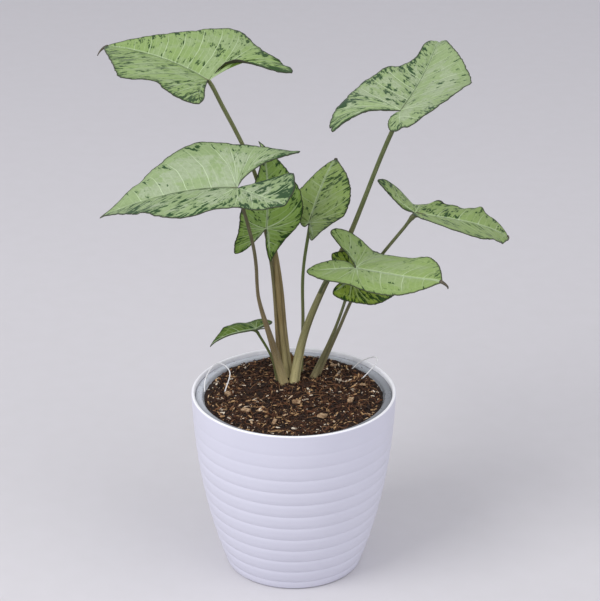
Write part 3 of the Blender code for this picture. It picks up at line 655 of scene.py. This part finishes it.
def half_blade(leaf, side, hand, phase, plain=False):
    """A grid of places in mm from the seat, and what the material reads there."""
    foot, edge, bow, vein, margin, behind = vein_rows(leaf, side)
    if not plain:
        rough = ripples(margin, phase, EDGE_ROUGHNESS, ROUGH_RATES, 5)
        edge = foot + (edge - foot) * (1 + rough)[:, None]
    chord = edge - foot
    reach = np.linalg.norm(chord, axis=1)
    across = np.stack([-chord[:, 1], chord[:, 0]], axis=1)
    middle = foot + chord / 2 + across * bow[:, None]
    ring = (np.arange(BLADE_RINGS + 1) / BLADE_RINGS) ** 1.2
    t = ring[:, None]
    flat = (1 - t) ** 2 * foot[:, None] + 2 * t * (1 - t) * middle[:, None] + t**2 * edge[:, None]
    x = flat[..., 0]
    y = np.where(x > 0, np.maximum(flat[..., 1], 0), flat[..., 1])
    near = np.hypot(x, y)
    out = ring * reach[:, None]
    along_edge = unit(np.gradient(edge, axis=0), 1e-9)
    way = unit(edge - middle, 1e-9)
    square = np.abs(way[:, 0] * along_edge[:, 1] - way[:, 1] * along_edge[:, 0])
    number = np.broadcast_to(vein[:, None], x.shape)
    lobe = np.clip(near / side.lobe, 0, 1) * behind[:, None]
    # painted shade: blotches and border made denser along the lobe's inner edge, where the rolled-up edge
    # lies in shade
    shaded_inner_edge = np.clip(4 * (margin - 1), 0, 1)[:, None] * ring**4
    data = {
        "vein": number,
        "spacing": np.linalg.norm(np.gradient(flat, axis=0), axis=-1) / np.gradient(vein)[:, None],
        "out": out,
        "edge": (1 - ring) * reach[:, None] * np.maximum(square, 0.15)[:, None],
        "half": np.full_like(x, hand),
        "near": near,
        "dark": side.dark + (side.lobe_dark - side.dark) * lobe + side.rolled_shade * shaded_inner_edge,
    }
    if plain:
        return bent(leaf, side, hand, x, y, np.zeros_like(x)), data
    size = leaf.length / 100
    quilt = QUILT * size * (0.5 - 0.5 * np.cos(2 * pi * number)) * np.sin(pi * ring**0.8)
    channel = -CHANNEL * size * np.exp(-((out / 1.6) ** 2))
    wave = ripples(margin, phase, CRINKLE * size, CRINKLE_RATES, 4)
    for at, height, reach in side.waves:
        wave = wave + height * np.exp(-(((margin - at) / reach) ** 2))
    lift = quilt + channel + wave[:, None] * ring**2.2
    return bent(leaf, side, hand, x, y, lift), data


def blade_grids(leaf, phase, plain=False):
    """Both halves of a blade, wound the same way round."""
    halves = []
    for side, hand in ((leaf.left, 1), (leaf.right, -1)):
        places, data = half_blade(leaf, side, hand, phase + hand, plain)
        halves.append((places[::hand], {label: values[::hand] for label, values in data.items()}))
    return halves


def seat_of(name, leaf):
    """Where the blade sits, mm: its plain surface has the same middle as its solid."""
    plain = np.concatenate([places.reshape(-1, 3) for places, _ in blade_grids(leaf, 0, plain=True)])
    low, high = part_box("leaf_" + name)
    return (np.array(low) + np.array(high)) / 2 / MM - (plain.min(0) + plain.max(0)) / 2


def blade(name, leaf, number):
    """A leaf's blade, with an underside of its own; number sets its edge and its blotches apart."""
    seat = seat_of(name, leaf)
    grids = [((places + seat) * MM, data) for places, data in blade_grids(leaf, 1.7 * number)]
    mesh = woven(grids)
    obj = piece("blade_" + name, mesh, leaf_top(name, leaf, number), "leaf", "leaf_" + name)
    mesh.materials.append(leaf_underside(name))
    skin = obj.modifiers.new("thickness", "SOLIDIFY")
    skin.thickness = BLADE_THICKNESS
    skin.offset = 0
    skin.material_offset = 1
    if leaf.drip:
        drip_tip(name, leaf, seat)


def drip_tip(name, leaf, seat):
    """The dry grey-brown point that the midrib runs out into, hooked over."""
    length, down, left = leaf.drip
    stations = 14
    distances, places, axes = midrib(leaf)
    at = np.argmin(np.abs(distances - (1 - DRIP_INSIDE) * leaf.length))
    turns = [(turn("Y", down / stations), turn("Z", left / stations))] * (stations - 1)
    _, path, _ = line_from(places[at], axes[at], turns, (length + DRIP_INSIDE * leaf.length) / stations)
    width = 2 * np.linspace(1.2, 0.25, stations) * MM
    grid = tube_grid((path + seat) * MM, width, 0.8 * width)
    finish = mottled("dry_tip_" + name, srgb(92, 84, 66), srgb(54, 50, 42), 900.0)
    piece("drip_tip_" + name, woven([(grid[::-1], {})]), finish, "leaf")


# --- stalks ---


@dataclass
class Stalk:
    """How a petiole looks: its sheath, the seam in it, and its colours from the foot up."""

    sheath: float  # share of the height that the sheath takes
    seam: float  # degrees round the sheath from +X towards the back
    seam_depth: float  # share of the radius
    foot: tuple  # colours, 0 to 255
    middle: tuple
    top: tuple
    sink: float = 5  # mm that it goes on below its solid's foot
    ridge: float = 1.0  # radius where it meets the blade and runs on as the midrib, mm
    flare: float = 0.5  # how much wider it grows just under the blade, mm
    broad: float = 0  # how much wider than its solid the sheath is, as a share
    aside: float = 0  # mm to the right of its solid halfway up


PALE_FOOT = (202, 192, 140)
BUFF_FOOT = (172, 160, 120)
GREY_GREEN = (90, 97, 57)
STALK_GREEN = (100, 116, 58)
STALK_FULLNESS = 1.12  # width against the plainer solid's

STALKS = {
    "top_left": Stalk(0.55, -60, 0.2, PALE_FOOT, (136, 118, 77), (103, 111, 66), broad=0.3),
    "large_left": Stalk(
        0.42, -150, 0.12, (190, 176, 128), (122, 106, 76), (86, 82, 55), broad=0.2),
    "centre": Stalk(
        0.3, -130, 0.15, (180, 168, 120), (130, 112, 74), (98, 96, 60), 5, 0.7,
        broad=0.5, aside=2.2),
    "small_centre": Stalk(
        0.1, -90, 0.05, (130, 130, 88), (114, 116, 72), STALK_GREEN, 5, 0.7, broad=0.3),
    "top_right": Stalk(0.6, -40, 0.34, PALE_FOOT, (126, 123, 81), (83, 94, 53), broad=0.22),
    "right": Stalk(0.35, -100, 0.15, BUFF_FOOT, (110, 105, 75), GREY_GREEN, flare=5, broad=0.25),
    "front_right": Stalk(0.1, -90, 0.05, GREY_GREEN, GREY_GREEN, GREY_GREEN, 0, 0.8),
    "under_right": Stalk(0.5, -130, 0.24, BUFF_FOOT, (108, 104, 73), GREY_GREEN, 5, 0.7, broad=0.2),
    "low_left": Stalk(
        0.1, -90, 0.05, (124, 122, 84), (96, 100, 60), STALK_GREEN, 3, 0.5, broad=0.3),
}
STALK_STATIONS = 90
STALK_SIDES = 40
AROUND = np.linspace(0, 2 * pi, STALK_SIDES + 1)
CUTS = 40  # levels at which a stalk's solid is measured
RIDGE_AT = (0.05, 0.2, 0.4, 0.6, 0.8)  # shares of the midrib that the ridge under it passes


def course_of(node):
    """Centres and widths, in metres, where level planes cut a stalk's solid from its foot to its top."""
    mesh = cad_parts[node].data
    points = np.array([vertex.co for vertex in mesh.vertices])
    ends = points[np.array([edge.vertices[:] for edge in mesh.edges])]
    low = points[:, 2].min() + 0.2 * MM
    high = points[:, 2].max() - 1.5 * MM
    centres = []
    widths = []
    for height in np.linspace(low, high, CUTS):
        above = ends[:, :, 2] - height
        crossing = above[:, 0] * above[:, 1] < 0
        share = above[crossing, 0] / (above[crossing, 0] - above[crossing, 1])
        hits = ends[crossing, 0] + (ends[crossing, 1] - ends[crossing, 0]) * share[:, None]
        centres.append((hits.min(0) + hits.max(0)) / 2)
        lean = centres[-1] - centres[max(len(centres) - 4, 0)]
        across = np.array([-lean[1], lean[0]]) if np.hypot(lean[0], lean[1]) > 1e-6 else np.array([1, 0])
        reach = hits[:, :2] @ (across / np.hypot(*across))
        widths.append(reach.max() - reach.min())
    return np.array(centres), np.array(widths)


def tube_grid(path, widths, depths, section=None):
    """A closed grid round a path; section gives the share of the radius at each (station, angle)."""
    ahead = unit(np.gradient(path, axis=0))
    across = unit(np.cross([0, 1, 0], ahead))
    deep = np.cross(ahead, across)
    angles = np.append(AROUND[:-1], 0)
    share = section(angles) if section else 1
    out = across[:, None] * (np.cos(angles) * share * widths[:, None] / 2)[..., None]
    out = out + deep[:, None] * (np.sin(angles) * share * depths[:, None] / 2)[..., None]
    grid = path[:, None] + out
    caps = [np.broadcast_to(path[k], grid[k].shape)[None] for k in (0, -1)]
    return np.concatenate([caps[0], grid, caps[1]])


def stalk_material(name, look):
    """Smooth and faintly lined lengthwise, with paler streaks painted in as highlights, paler at the foot,
    with small speckles.
    """
    s = Shader("stalk_" + name)
    rise = s.value("rise")
    lines = s.noise(s.vector(s.times(s.value("around"), 5.0), s.times(rise, 5.0)), 3.0, 3.0, 0.6)
    foot, middle, top = [srgb(*colour) for colour in (look.foot, look.middle, look.top)]
    skin = s.mix(s.step(rise, 0.25, 0.75), s.mix(s.step(rise, 0.0, 0.22), foot, middle), top)
    dark = tuple(channel * 0.45 for channel in middle)
    lined = s.mix(s.step(lines, 0.48, 0.68, 0.5), skin, dark)
    # painted highlight: paler streaks along the stalk where the lines are low
    lit = s.mix(s.step(lines, 0.46, 0.3, 0.45), lined, blended(foot, (0.8, 0.8, 0.65), 0.35))
    speckled = s.mix(s.step(s.grain(1300.0, 2.0, 0.6), 0.62, 0.7, 0.35), lit, dark)
    seamed = s.mix(s.times(s.value("seam"), 0.6), speckled, dark)
    return s.finish(seamed, 0.45, s.bump(lines, 0.0004, 0.5), Specular_IOR_Level=0.3)


def stalk(name):
    """A petiole from below the mix's surface to the blade, where it runs on as the raised midrib."""
    look = STALKS[name]
    leaf = LEAVES[name]
    seat = seat_of(name, leaf) * MM
    centres, widths = course_of("petiole_" + name)
    centres[:, 0] += look.aside * MM * np.sin(np.linspace(0, pi, CUTS))
    fall = (centres[0] - centres[4]) / np.linalg.norm(centres[0] - centres[4])
    below = [centres[0] + fall * look.sink * MM] if look.sink else []
    distances, places, axes = midrib(leaf)
    ridge = []
    for share in RIDGE_AT:
        k = round(share * MIDRIB_STEPS)
        drop = CHANNEL * leaf.length / 100 + look.ridge * (1 - share)
        ridge.append((places[k] - axes[k][:, 2] * drop) * MM + seat)
    path = smooth_path([*below, *centres[::3], *ridge], STALK_STATIONS)
    along = np.linspace(0, 1, STALK_STATIONS)
    met = np.argmin(np.linalg.norm(path - ridge[0], axis=1)) / (STALK_STATIONS - 1)
    stalk_width = np.interp(along, np.linspace(0, met, CUTS), widths)
    ridge_width = np.interp(along, [met, 1], [2 * look.ridge * MM, 0.3 * MM])
    width = np.where(along < met, stalk_width, ridge_width)
    below_seat = (met - along) * np.linalg.norm(np.diff(path, axis=0), axis=1).sum() / MM
    width = width + look.flare * MM * np.exp(-((below_seat / 4) ** 2)) * (along < met)
    width = width * STALK_FULLNESS * (1 + look.broad * np.exp(-(((along / met - 0.1) / 0.16) ** 2)))
    width = np.convolve(np.pad(width, 2, mode="edge"), np.ones(5) / 5, mode="valid")
    swell = np.clip(1 - along / (look.sheath * met), 0, 1) ** 0.8
    depth = width * (1 - 0.15 * swell)

    def seam_line(angles, reach):
        """1 along the seam of the sheath and 0 away from it, at each (station, angle)."""
        away = np.angle(np.exp(1j * (angles - radians(look.seam))))
        return np.exp(-((away / reach) ** 2))[None] * np.clip(swell * 2, 0, 1)[:, None]

    def section(angles):
        ribs = 0.015 * np.sin(9 * angles + 0.7)[None] * np.ones((STALK_STATIONS, 1))
        return 1 - look.seam_depth * seam_line(angles, 0.16) + ribs

    grid = tube_grid(path, width, depth, section)[::-1]
    rise = np.concatenate([[0], along / met, [1]])[::-1, None] * np.ones((1, STALK_SIDES + 1))
    seam = np.pad(seam_line(AROUND, 0.13), ((1, 1), (0, 0)), mode="edge")[::-1]
    around = np.broadcast_to(AROUND, rise.shape)
    mesh = woven([(grid, {"rise": rise, "around": around, "seam": seam})])
    piece("stalk_" + name, mesh, stalk_material(name, look), "petiole", "petiole_" + name)


def mottled(name, colour, dark, scale, high=0.7, rough=0.6, depth=0.0006, strength=0.6):
    """A rough skin of two colours in patches, scale of them in a metre."""
    s = Shader(name)
    patches = s.grain(scale, 4.0, 0.6)
    tone = s.mix(s.step(patches, 0.35, high), colour, dark)
    return s.finish(tone, rough, s.bump(patches, depth, strength))


def crown(body, finish):
    """The rooted base that the sheaths rise from: a low lumpy stub that the mix covers."""
    low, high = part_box("stem_" + body)
    half = (high - low) / 2
    centre = (low + high) / 2
    profile = [(0, low.z), (0.6, low.z), (0.8, low.z + 8 * MM)]
    profile += [(0.85, high.z - 5 * MM), (0.6, high.z - 1.5 * MM), (0, high.z - 0.8 * MM)]
    mesh = turned(profile, segments=48)
    for vertex in mesh.vertices:
        lump = 1 + 0.12 * noise.noise(vertex.co * 3 + Vector((0, 0, vertex.co.z * 200)))
        vertex.co.x = centre.x + vertex.co.x * half.x * lump
        vertex.co.y = centre.y + vertex.co.y * half.y * lump
    piece("crown_" + body, mesh, finish, "stem", "stem_" + body)


# --- planter and liner ---


def pot_radius(height):
    """Outer radius of the planter over its ribs' crests."""
    t = height / POT_HEIGHT
    swell = 2.04 * t - 1.23 * t**2 + 0.21 * t**3 - 0.02 * t**4
    return BASE_RADIUS + (RIM_RADIUS - BASE_RADIUS) * swell


def rib_depth(height):
    """How far the ribbed wall lies inside the crests: round bands that meet in grooves and fade upward."""
    up = (height - TOP_GROOVE_HEIGHT) / RIB_PITCH
    return RIB_DEPTH * np.interp(up, *zip(*RIB_FADE)) * abs(2 * (up % 1) - 1) ** 3


def planter():
    """White plastic, ribbed outside and plain inside, with a rounded rim whose top and inner wall are
    painted a brighter, unscuffed white as painted light.
    """
    outside = [(BASE_RADIUS - 1.6 * MM, 0), (BASE_RADIUS - 0.7 * MM, 0.2 * MM)]
    for height in np.linspace(0.9 * MM, POT_HEIGHT - 1.2 * MM, 260):
        outside.append((pot_radius(height) - rib_depth(height), height))
    round_radius = POT_WALL / 2
    middle = RIM_RADIUS - round_radius
    top = POT_HEIGHT - round_radius
    rim = [(middle + round_radius * cos(a), top + round_radius * sin(a)) for a in np.linspace(0.1, pi, 14)]
    heights = [share * POT_HEIGHT for share in (0.95, 0.9, 0.8, 0.6, 0.4, 0.25, 0.12)]
    inside = [(pot_radius(height) - RIB_DEPTH * 0.5 - POT_WALL, height) for height in heights]
    profile = [(0, 0.8 * MM), (BASE_RADIUS - 6 * MM, 0.8 * MM), (BASE_RADIUS - 5 * MM, 0), *outside]
    profile += [*rim, *inside, (BASE_RADIUS - POT_WALL, POT_FLOOR), (0, POT_FLOOR)]
    s = Shader("white_plastic")
    clouds = s.grain(30.0, 3.0)
    tone = s.mix(clouds, srgb(208, 208, 222), srgb(216, 216, 230))
    scuffed = s.mix(s.step(s.grain(210.0, 4.0, 0.65), 0.74, 0.8, 0.25), tone, srgb(176, 176, 186))
    x, y, z = s.sides()
    from_axis = s.math("SQRT", s.math("ADD", s.math("POWER", x, 2.0), s.math("POWER", y, 2.0)))
    # painted light: the rim's top and the top of its inner wall are painted a brighter, unscuffed white
    rim_top = s.step(z, POT_HEIGHT - 0.7 * MM, POT_HEIGHT - 0.3 * MM)
    inward = s.step(from_axis, middle - 0.3 * MM, middle - 0.7 * MM)
    inner_wall = s.times(inward, s.step(z, 0.9 * POT_HEIGHT, 0.92 * POT_HEIGHT))
    rim_painted_light = s.mix(s.math("MAXIMUM", rim_top, inner_wall), scuffed, RIM_PAINTED_WHITE)
    relief = s.bump(s.grain(1500.0), 0.00004, 0.3)
    finish = s.finish(rim_painted_light, s.times(clouds, 0.12, 0.3), relief, Coat_Weight=0.15, Coat_Roughness=0.25)
    piece("planter", turned(profile, segments=256), finish, "pot_white", "outer_pot")


def liner_outer_radius(height):
    """Outer radius of the liner's wall."""
    share = (height - LINER_LOW.z) / (LINER_HIGH.z - LINER_LOW.z)
    return LINER_FOOT_RADIUS + (LINER_MOUTH_RADIUS - LINER_FOOT_RADIUS) * share


def liner():
    """Clear plastic, dusty, with a rounded lip; greyer where it lies in the front wall's shade."""
    top = LINER_HIGH.z - LINER_DROP
    below = top - 2.4 * MM
    heights = np.linspace(LINER_LOW.z + 2 * MM, below, 12)
    outside = [(LINER_FOOT_RADIUS, LINER_LOW.z), *[(liner_outer_radius(z), z) for z in heights]]
    mouth = liner_outer_radius(below) - LINER_WALL
    edge = [(LINER_HIGH.x + x * MM, top + z * MM) for x, z in LIP_EDGE]
    inside = [(mouth + x * MM, top + z * MM) for x, z in LIP_INSIDE]
    heights = np.linspace(below - 3 * MM, LINER_LOW.z + 2 * MM, 10)
    inside += [(liner_outer_radius(z) - LINER_WALL, z) for z in heights]
    profile = [(0, LINER_LOW.z), *outside, *edge, *inside, (0, LINER_LOW.z + LINER_WALL)]
    s = Shader("clear_plastic")
    dust = s.grain(420.0, 4.0, 0.6)
    clouds = s.grain(60.0, 3.0)
    x, y, _ = s.sides()
    rearward = s.step(s.times(x, -0.6, y), -35 * MM, 40 * MM)
    light = s.mix(clouds, srgb(198, 203, 212), srgb(224, 228, 236))
    tone = s.mix(rearward, srgb(136, 140, 146), light)
    dusty = s.mix(s.step(dust, 0.64, 0.7, 0.85), tone, srgb(64, 48, 38))
    relief = s.bump(dust, 0.0002, 0.3)
    finish = s.finish(dusty, s.times(clouds, 0.2, 0.15), relief, Transmission_Weight=0.2)
    piece("liner", turned(profile, segments=200), finish, "liner_clear", "inner_pot")


# --- mix and what lies on it ---


def mix_height(x, y):
    """Height of the mix's surface, lumpy, mounded round the plant."""
    from_plant = ((x - MOUND_CENTRE[0]) ** 2 + (y - MOUND_CENTRE[1]) ** 2) ** 0.5
    mound = MOUND * np.exp(-((from_plant / MOUND_SPREAD) ** 2))
    lumps = sum(height * noise.noise(Vector((x, y, 0)) / (size * MM)) for height, size in MIX_LUMPS)
    rear = MIX_REAR_RISE * max(y / MIX_RADIUS, 0) ** 2
    return MIX_EDGE_HEIGHT + mound + rear + lumps * MM


def on_mix(x, y, lift=0):
    """The place on the mix's surface, lifted by so much."""
    return x, y, mix_height(x, y) + lift


def lying(x, y, lift):
    """The same for many places."""
    return np.array([on_mix(*place) for place in zip(x, y, lift)])


def mix_body():
    """A lumpy top down to a plain wall and a flat foot inside the liner."""
    rings = 110
    segments = 300
    points = []
    for ring in range(rings + 1):
        radius = MIX_RADIUS * ring / rings
        angles = [2 * pi * (k % segments) / segments for k in range(segments + 1)]
        points.append([on_mix(radius * cos(angle), radius * sin(angle)) for angle in angles])
    foot = np.array(points[-1])
    for height in (MIX_EDGE_HEIGHT - 6 * MM, MIX_LOW.z):
        radius = liner_outer_radius(height) - LINER_WALL - 0.4 * MM
        wall = foot.copy()
        wall[:, :2] *= radius / MIX_RADIUS
        wall[:, 2] = height
        points.append(wall)
    points.append([(0, 0, MIX_LOW.z)] * (segments + 1))
    s = Shader("coir_bed")
    grain = s.grain(900.0, 5.0, 0.7)
    dark = s.mix(s.grain(140.0, 3.0), srgb(23, 14, 9), srgb(46, 29, 19))
    tone = s.mix(s.step(grain, 0.48, 0.76), dark, srgb(98, 67, 44))
    finish = s.finish(tone, 0.95, s.bump(grain, 0.001, 0.9))
    piece("mix_body", woven([(np.array(points), {})]), finish, "coir_mix", "potting_mix")


def scattered(random, count, reach):
    """Places (x, y), evenly spread out to this share of the mix's radius."""
    radius = reach * MIX_RADIUS * np.sqrt(random.uniform(0, 1, count))
    angle = random.uniform(0, 2 * pi, count)
    return radius * np.cos(angle), radius * np.sin(angle)


def tones_of(random, count, pale_share, pale, dark, lean):
    """Tones, 0 to 1: this share in the range of pale ones, the rest up to dark and leaning to 0."""
    is_pale = random.uniform(0, 1, count) < pale_share
    pale_tones = random.uniform(*pale, count)
    return np.where(is_pale, pale_tones, dark * random.beta(1.1, lean, count))


def copies(shape, faces, places, turns, sizes, tones):
    """One mesh of many turned and scaled copies of a small shape; each has a tone for its colour."""
    points = np.einsum("kij,nj,kj->kni", turns, shape, sizes) + places[:, None]
    every = []
    for k in range(len(places)):
        every += [tuple(corner + k * len(shape) for corner in face) for face in faces]
    tone = np.repeat(tones, sum(len(face) for face in faces))
    return mesh_of(points.reshape(-1, 3), every, {"tone": tone}, smooth=False)


def any_turns(random, count, tilt):
    """Rotations: any way round, tipped by about this many degrees."""
    angles = zip(random.uniform(0, 360, count), random.normal(0, tilt, count), random.normal(0, tilt, count))
    return np.array([turn("Z", yaw) @ turn("Y", lean) @ turn("X", roll) for yaw, lean, roll in angles])


def flake_shape():
    """A splinter one unit long: a bent strip with ragged ends."""
    stations = [(-0.5, 0.25, 0.0), (-0.2, 0.5, 0.25), (0.15, 0.45, 0.3), (0.5, 0.2, 0.05)]
    points = []
    for x, half, bow in stations:
        points += [(x, -half, bow - 0.5), (x, half, bow - 0.5)]
        points += [(x, half * 0.9, bow + 0.5), (x, -half * 0.8, bow + 0.5)]
    faces = [(0, 1, 2, 3), (12, 15, 14, 13)]
    for k in range(3):
        a = 4 * k
        faces += [(a + j, a + 4 + j, a + 4 + (j + 1) % 4, a + (j + 1) % 4) for j in range(4)]
    return np.array(points), [face[::-1] for face in faces]


LITTER_COLOURS = (  # from this tone to this tone, darker to red-brown, tan and pale
    (0.0, 0.45, (90, 55, 33)), (0.45, 0.62, (120, 74, 43)),
    (0.62, 0.78, (200, 162, 116)), (0.86, 0.95, (240, 226, 204)))


def litter_material(name, rough):
    """Colour by each bit's tone, a little worn."""
    s = Shader(name)
    tone = s.value("tone")
    grain = s.grain(1500.0, 3.0, 0.6)
    colour = srgb(30, 18, 12)
    for low, high, card in LITTER_COLOURS:
        colour = s.mix(s.step(tone, low, high), colour, srgb(*card))
    worn = s.mix(s.step(grain, 0.5, 0.75, 0.4), colour, srgb(60, 36, 24))
    return s.finish(worn, rough, s.bump(grain, 0.0005, 0.6))


def flakes(random):
    """Splinters of coir, none of them through the liner."""
    shape, faces = flake_shape()
    x, y = scattered(random, FLAKES, reach=0.985)
    tones = tones_of(random, FLAKES, pale_share=0.24, pale=(0.62, 0.98), dark=0.7, lean=3.0)
    lift = random.uniform(0.1, 1.1, FLAKES) * MM
    length = random.gamma(3.2, 0.75, FLAKES).clip(0.9, 7.0)
    width = (length * random.uniform(0.12, 0.45, FLAKES)).clip(0.3, 1.5)
    thick = random.uniform(0.25, 0.6, FLAKES)
    sizes = np.stack([length, width, thick], axis=1) * MM
    inside = np.hypot(x, y) + length * MM / 2 < MIX_RADIUS - WALL_GAP
    turns = any_turns(random, int(inside.sum()), tilt=22)
    places = lying(x, y, lift)[inside]
    mesh = copies(shape, faces, places, turns, sizes[inside], tones[inside])
    piece("flakes", mesh, litter_material("flake_fibre", 0.9), "coir_chip")


def crumbs(random):
    """Small eight-sided lumps."""
    x, y = scattered(random, CRUMBS, reach=0.97)
    places = lying(x, y, random.uniform(-0.2, 0.6, CRUMBS) * MM)
    size = random.gamma(3.0, 0.24, CRUMBS).clip(0.25, 2.0) * MM
    sizes = size[:, None] * random.uniform(0.6, 1.3, (CRUMBS, 3))
    lump = np.array([(1, 0, 0), (-1, 0, 0), (0, 1, 0), (0, -1, 0), (0, 0, 1), (0, 0, -1)]) * 0.6
    faces = [(0, 2, 4), (2, 1, 4), (1, 3, 4), (3, 0, 4), (2, 0, 5), (1, 2, 5), (3, 1, 5), (0, 3, 5)]
    tones = tones_of(random, CRUMBS, pale_share=0.05, pale=(0.7, 1), dark=0.6, lean=3.5)
    mesh = copies(lump, faces, places, any_turns(random, CRUMBS, tilt=60), sizes, tones)
    piece("crumbs", mesh, litter_material("crumb_fibre", 0.95), "coir_mix")


def fibres(random):
    """Thin curly strands of coir."""
    steps = 8
    grids = []
    for _ in range(FIBRES):
        x, y = [float(side[0]) for side in scattered(random, 1, reach=0.9)]
        way = random.uniform(0, 2 * pi)
        length = random.uniform(4, 13) * MM
        curl = random.uniform(-2.2, 2.2)
        tone = random.choice([0.2, 0.35, 0.5, 0.68])
        path = []
        for share in np.arange(steps + 1) / steps:
            lift = 0.7 + 1.4 * sin(pi * share) * random.uniform(0.5, 1)
            path.append(on_mix(x, y, lift * MM))
            x += cos(way + curl * share) * length / steps
            y += sin(way + curl * share) * length / steps
        path = np.array(path)
        if np.hypot(path[:, 0], path[:, 1]).max() > MIX_RADIUS:
            continue
        ahead = unit(np.gradient(path, axis=0))
        side = unit(np.cross(ahead, [0, 0, 1]))
        up = np.cross(side, ahead)
        radius = random.uniform(0.10, 0.22) * MM
        angles = (0, 2 * pi / 3, 4 * pi / 3, 0)
        grid = np.stack([path + (side * cos(a) + up * sin(a)) * radius for a in angles], axis=1)
        grid[0] = path[0]
        grid[-1] = path[-1]
        grids.append((grid, {"tone": np.full(grid.shape[:2], tone)}))
    piece("fibres", woven(grids), litter_material("strand_fibre", 0.85), "coir_chip")


def chips():
    """Angular bits of bark in the places of their solids."""
    random = np.random.default_rng(CHIP_SEED)
    tan = srgb(204, 174, 138)
    finish = mottled("bark_chip", tan, srgb(146, 112, 80), 500.0, 0.65, rough=0.9, depth=0.002, strength=1.0)
    corners = np.array([(x, y, z) for x in (-1, 1) for y in (-1, 1) for z in (-1, 1)])
    faces = [(0, 1, 3, 2), (4, 6, 7, 5), (0, 4, 5, 1), (2, 3, 7, 6), (0, 2, 6, 4), (1, 5, 7, 3)]
    for number in range(1, 9):
        node = f"coir_chip_{number}"
        low, high = [np.array(corner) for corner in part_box(node)]
        half = (high - low) / 2 * CHIP_SHARES
        way = turn("Z", random.uniform(-30, 30)) @ turn("X", random.uniform(-12, 12))
        points = (corners * random.uniform(0.72, 1, corners.shape) * half) @ way.T + (low + high) / 2
        obj = piece(f"bark_{number}", mesh_of(points, faces, smooth=False), finish, "coir_chip", node)
        obj.modifiers.new("worn edges", "BEVEL").width = 0.12 * MM


def nylon():
    """Clear moulded nylon, a little hazy."""
    s = Shader("clear_nylon")
    haze = s.times(s.grain(500.0), 0.1, 0.3)
    return s.finish((0.93, 0.93, 0.94), haze, Transmission_Weight=0.15, IOR=1.5)


def carried_over():
    """The dry sheath and the label loops keep their solids and get their finish here."""
    loop = nylon()
    dry = mottled("dry_skin", srgb(150, 116, 62), srgb(104, 70, 36), 400.0)
    for node, finish in (("dry_sheath", dry), ("label_loop_left", loop), ("label_loop_right", loop)):
        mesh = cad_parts[node].data
        mesh.materials.clear()
        mesh.materials.append(finish)
        mesh.shade_smooth()


# --- camera, light and floor ---


def camera():
    data = bpy.data.cameras.new("camera")
    data.lens = CAMERA_LENS
    data.sensor_width = CAMERA_SENSOR
    data.clip_end = 20
    obj = added("camera", data)
    obj.location = CAMERA_PLACE
    obj.rotation_euler = (radians(90 - CAMERA_PITCH), 0, -radians(CAMERA_YAW))
    bpy.context.scene.camera = obj


def lamp(name, place, size, power):
    """A soft square light that faces the planter."""
    data = bpy.data.lights.new(name, "AREA")
    data.size = size
    data.energy = power
    obj = added(name, data)
    obj.location = place
    aim = Vector((0, 0, POT_HEIGHT)) - Vector(place)
    obj.rotation_euler = aim.to_track_quat("-Z", "Y").to_euler()


def studio():
    """A pale level floor, even light from all round, and two soft lamps, the stronger on the left."""
    scene = bpy.context.scene
    scene.view_settings.view_transform = "Standard"
    world = bpy.data.worlds.new("studio")
    world.use_nodes = True
    sky = world.node_tree.nodes["Background"].inputs
    sky["Color"].default_value = (0.93, 0.93, 1.0, 1)
    sky["Strength"].default_value = 0.66
    scene.world = world
    corners = [(x * FLOOR_REACH, y * FLOOR_REACH, 0) for x, y in ((-1, -1), (1, -1), (1, 1), (-1, 1))]
    mesh = mesh_of(corners, [(0, 1, 2, 3)])
    s = Shader("floor_paint")
    tone = s.mix(s.grain(60.0, 3.0), srgb(208, 206, 208), srgb(212, 210, 213))
    mesh.materials.append(s.finish(tone, 0.7))
    floor = added("floor", mesh)
    lamp("key", (-1.3, -0.9, 1.5), size=1.2, power=25)
    lamp("fill", (1.2, -0.8, 1.4), size=1.6, power=10)


camera()
studio()
planter()
liner()
mix_body()
litter_random = np.random.default_rng(LITTER_SEED)
flakes(litter_random)
crumbs(litter_random)
fibres(litter_random)
crown_skin = mottled("crown_skin", srgb(150, 140, 92), srgb(92, 72, 44), 300.0)
crown("main", crown_skin)
crown("right", crown_skin)
for name in STALKS:
    stalk(name)
for number, (name, leaf) in enumerate(LEAVES.items(), 1):
    blade(name, leaf, number)
chips()
carried_over()
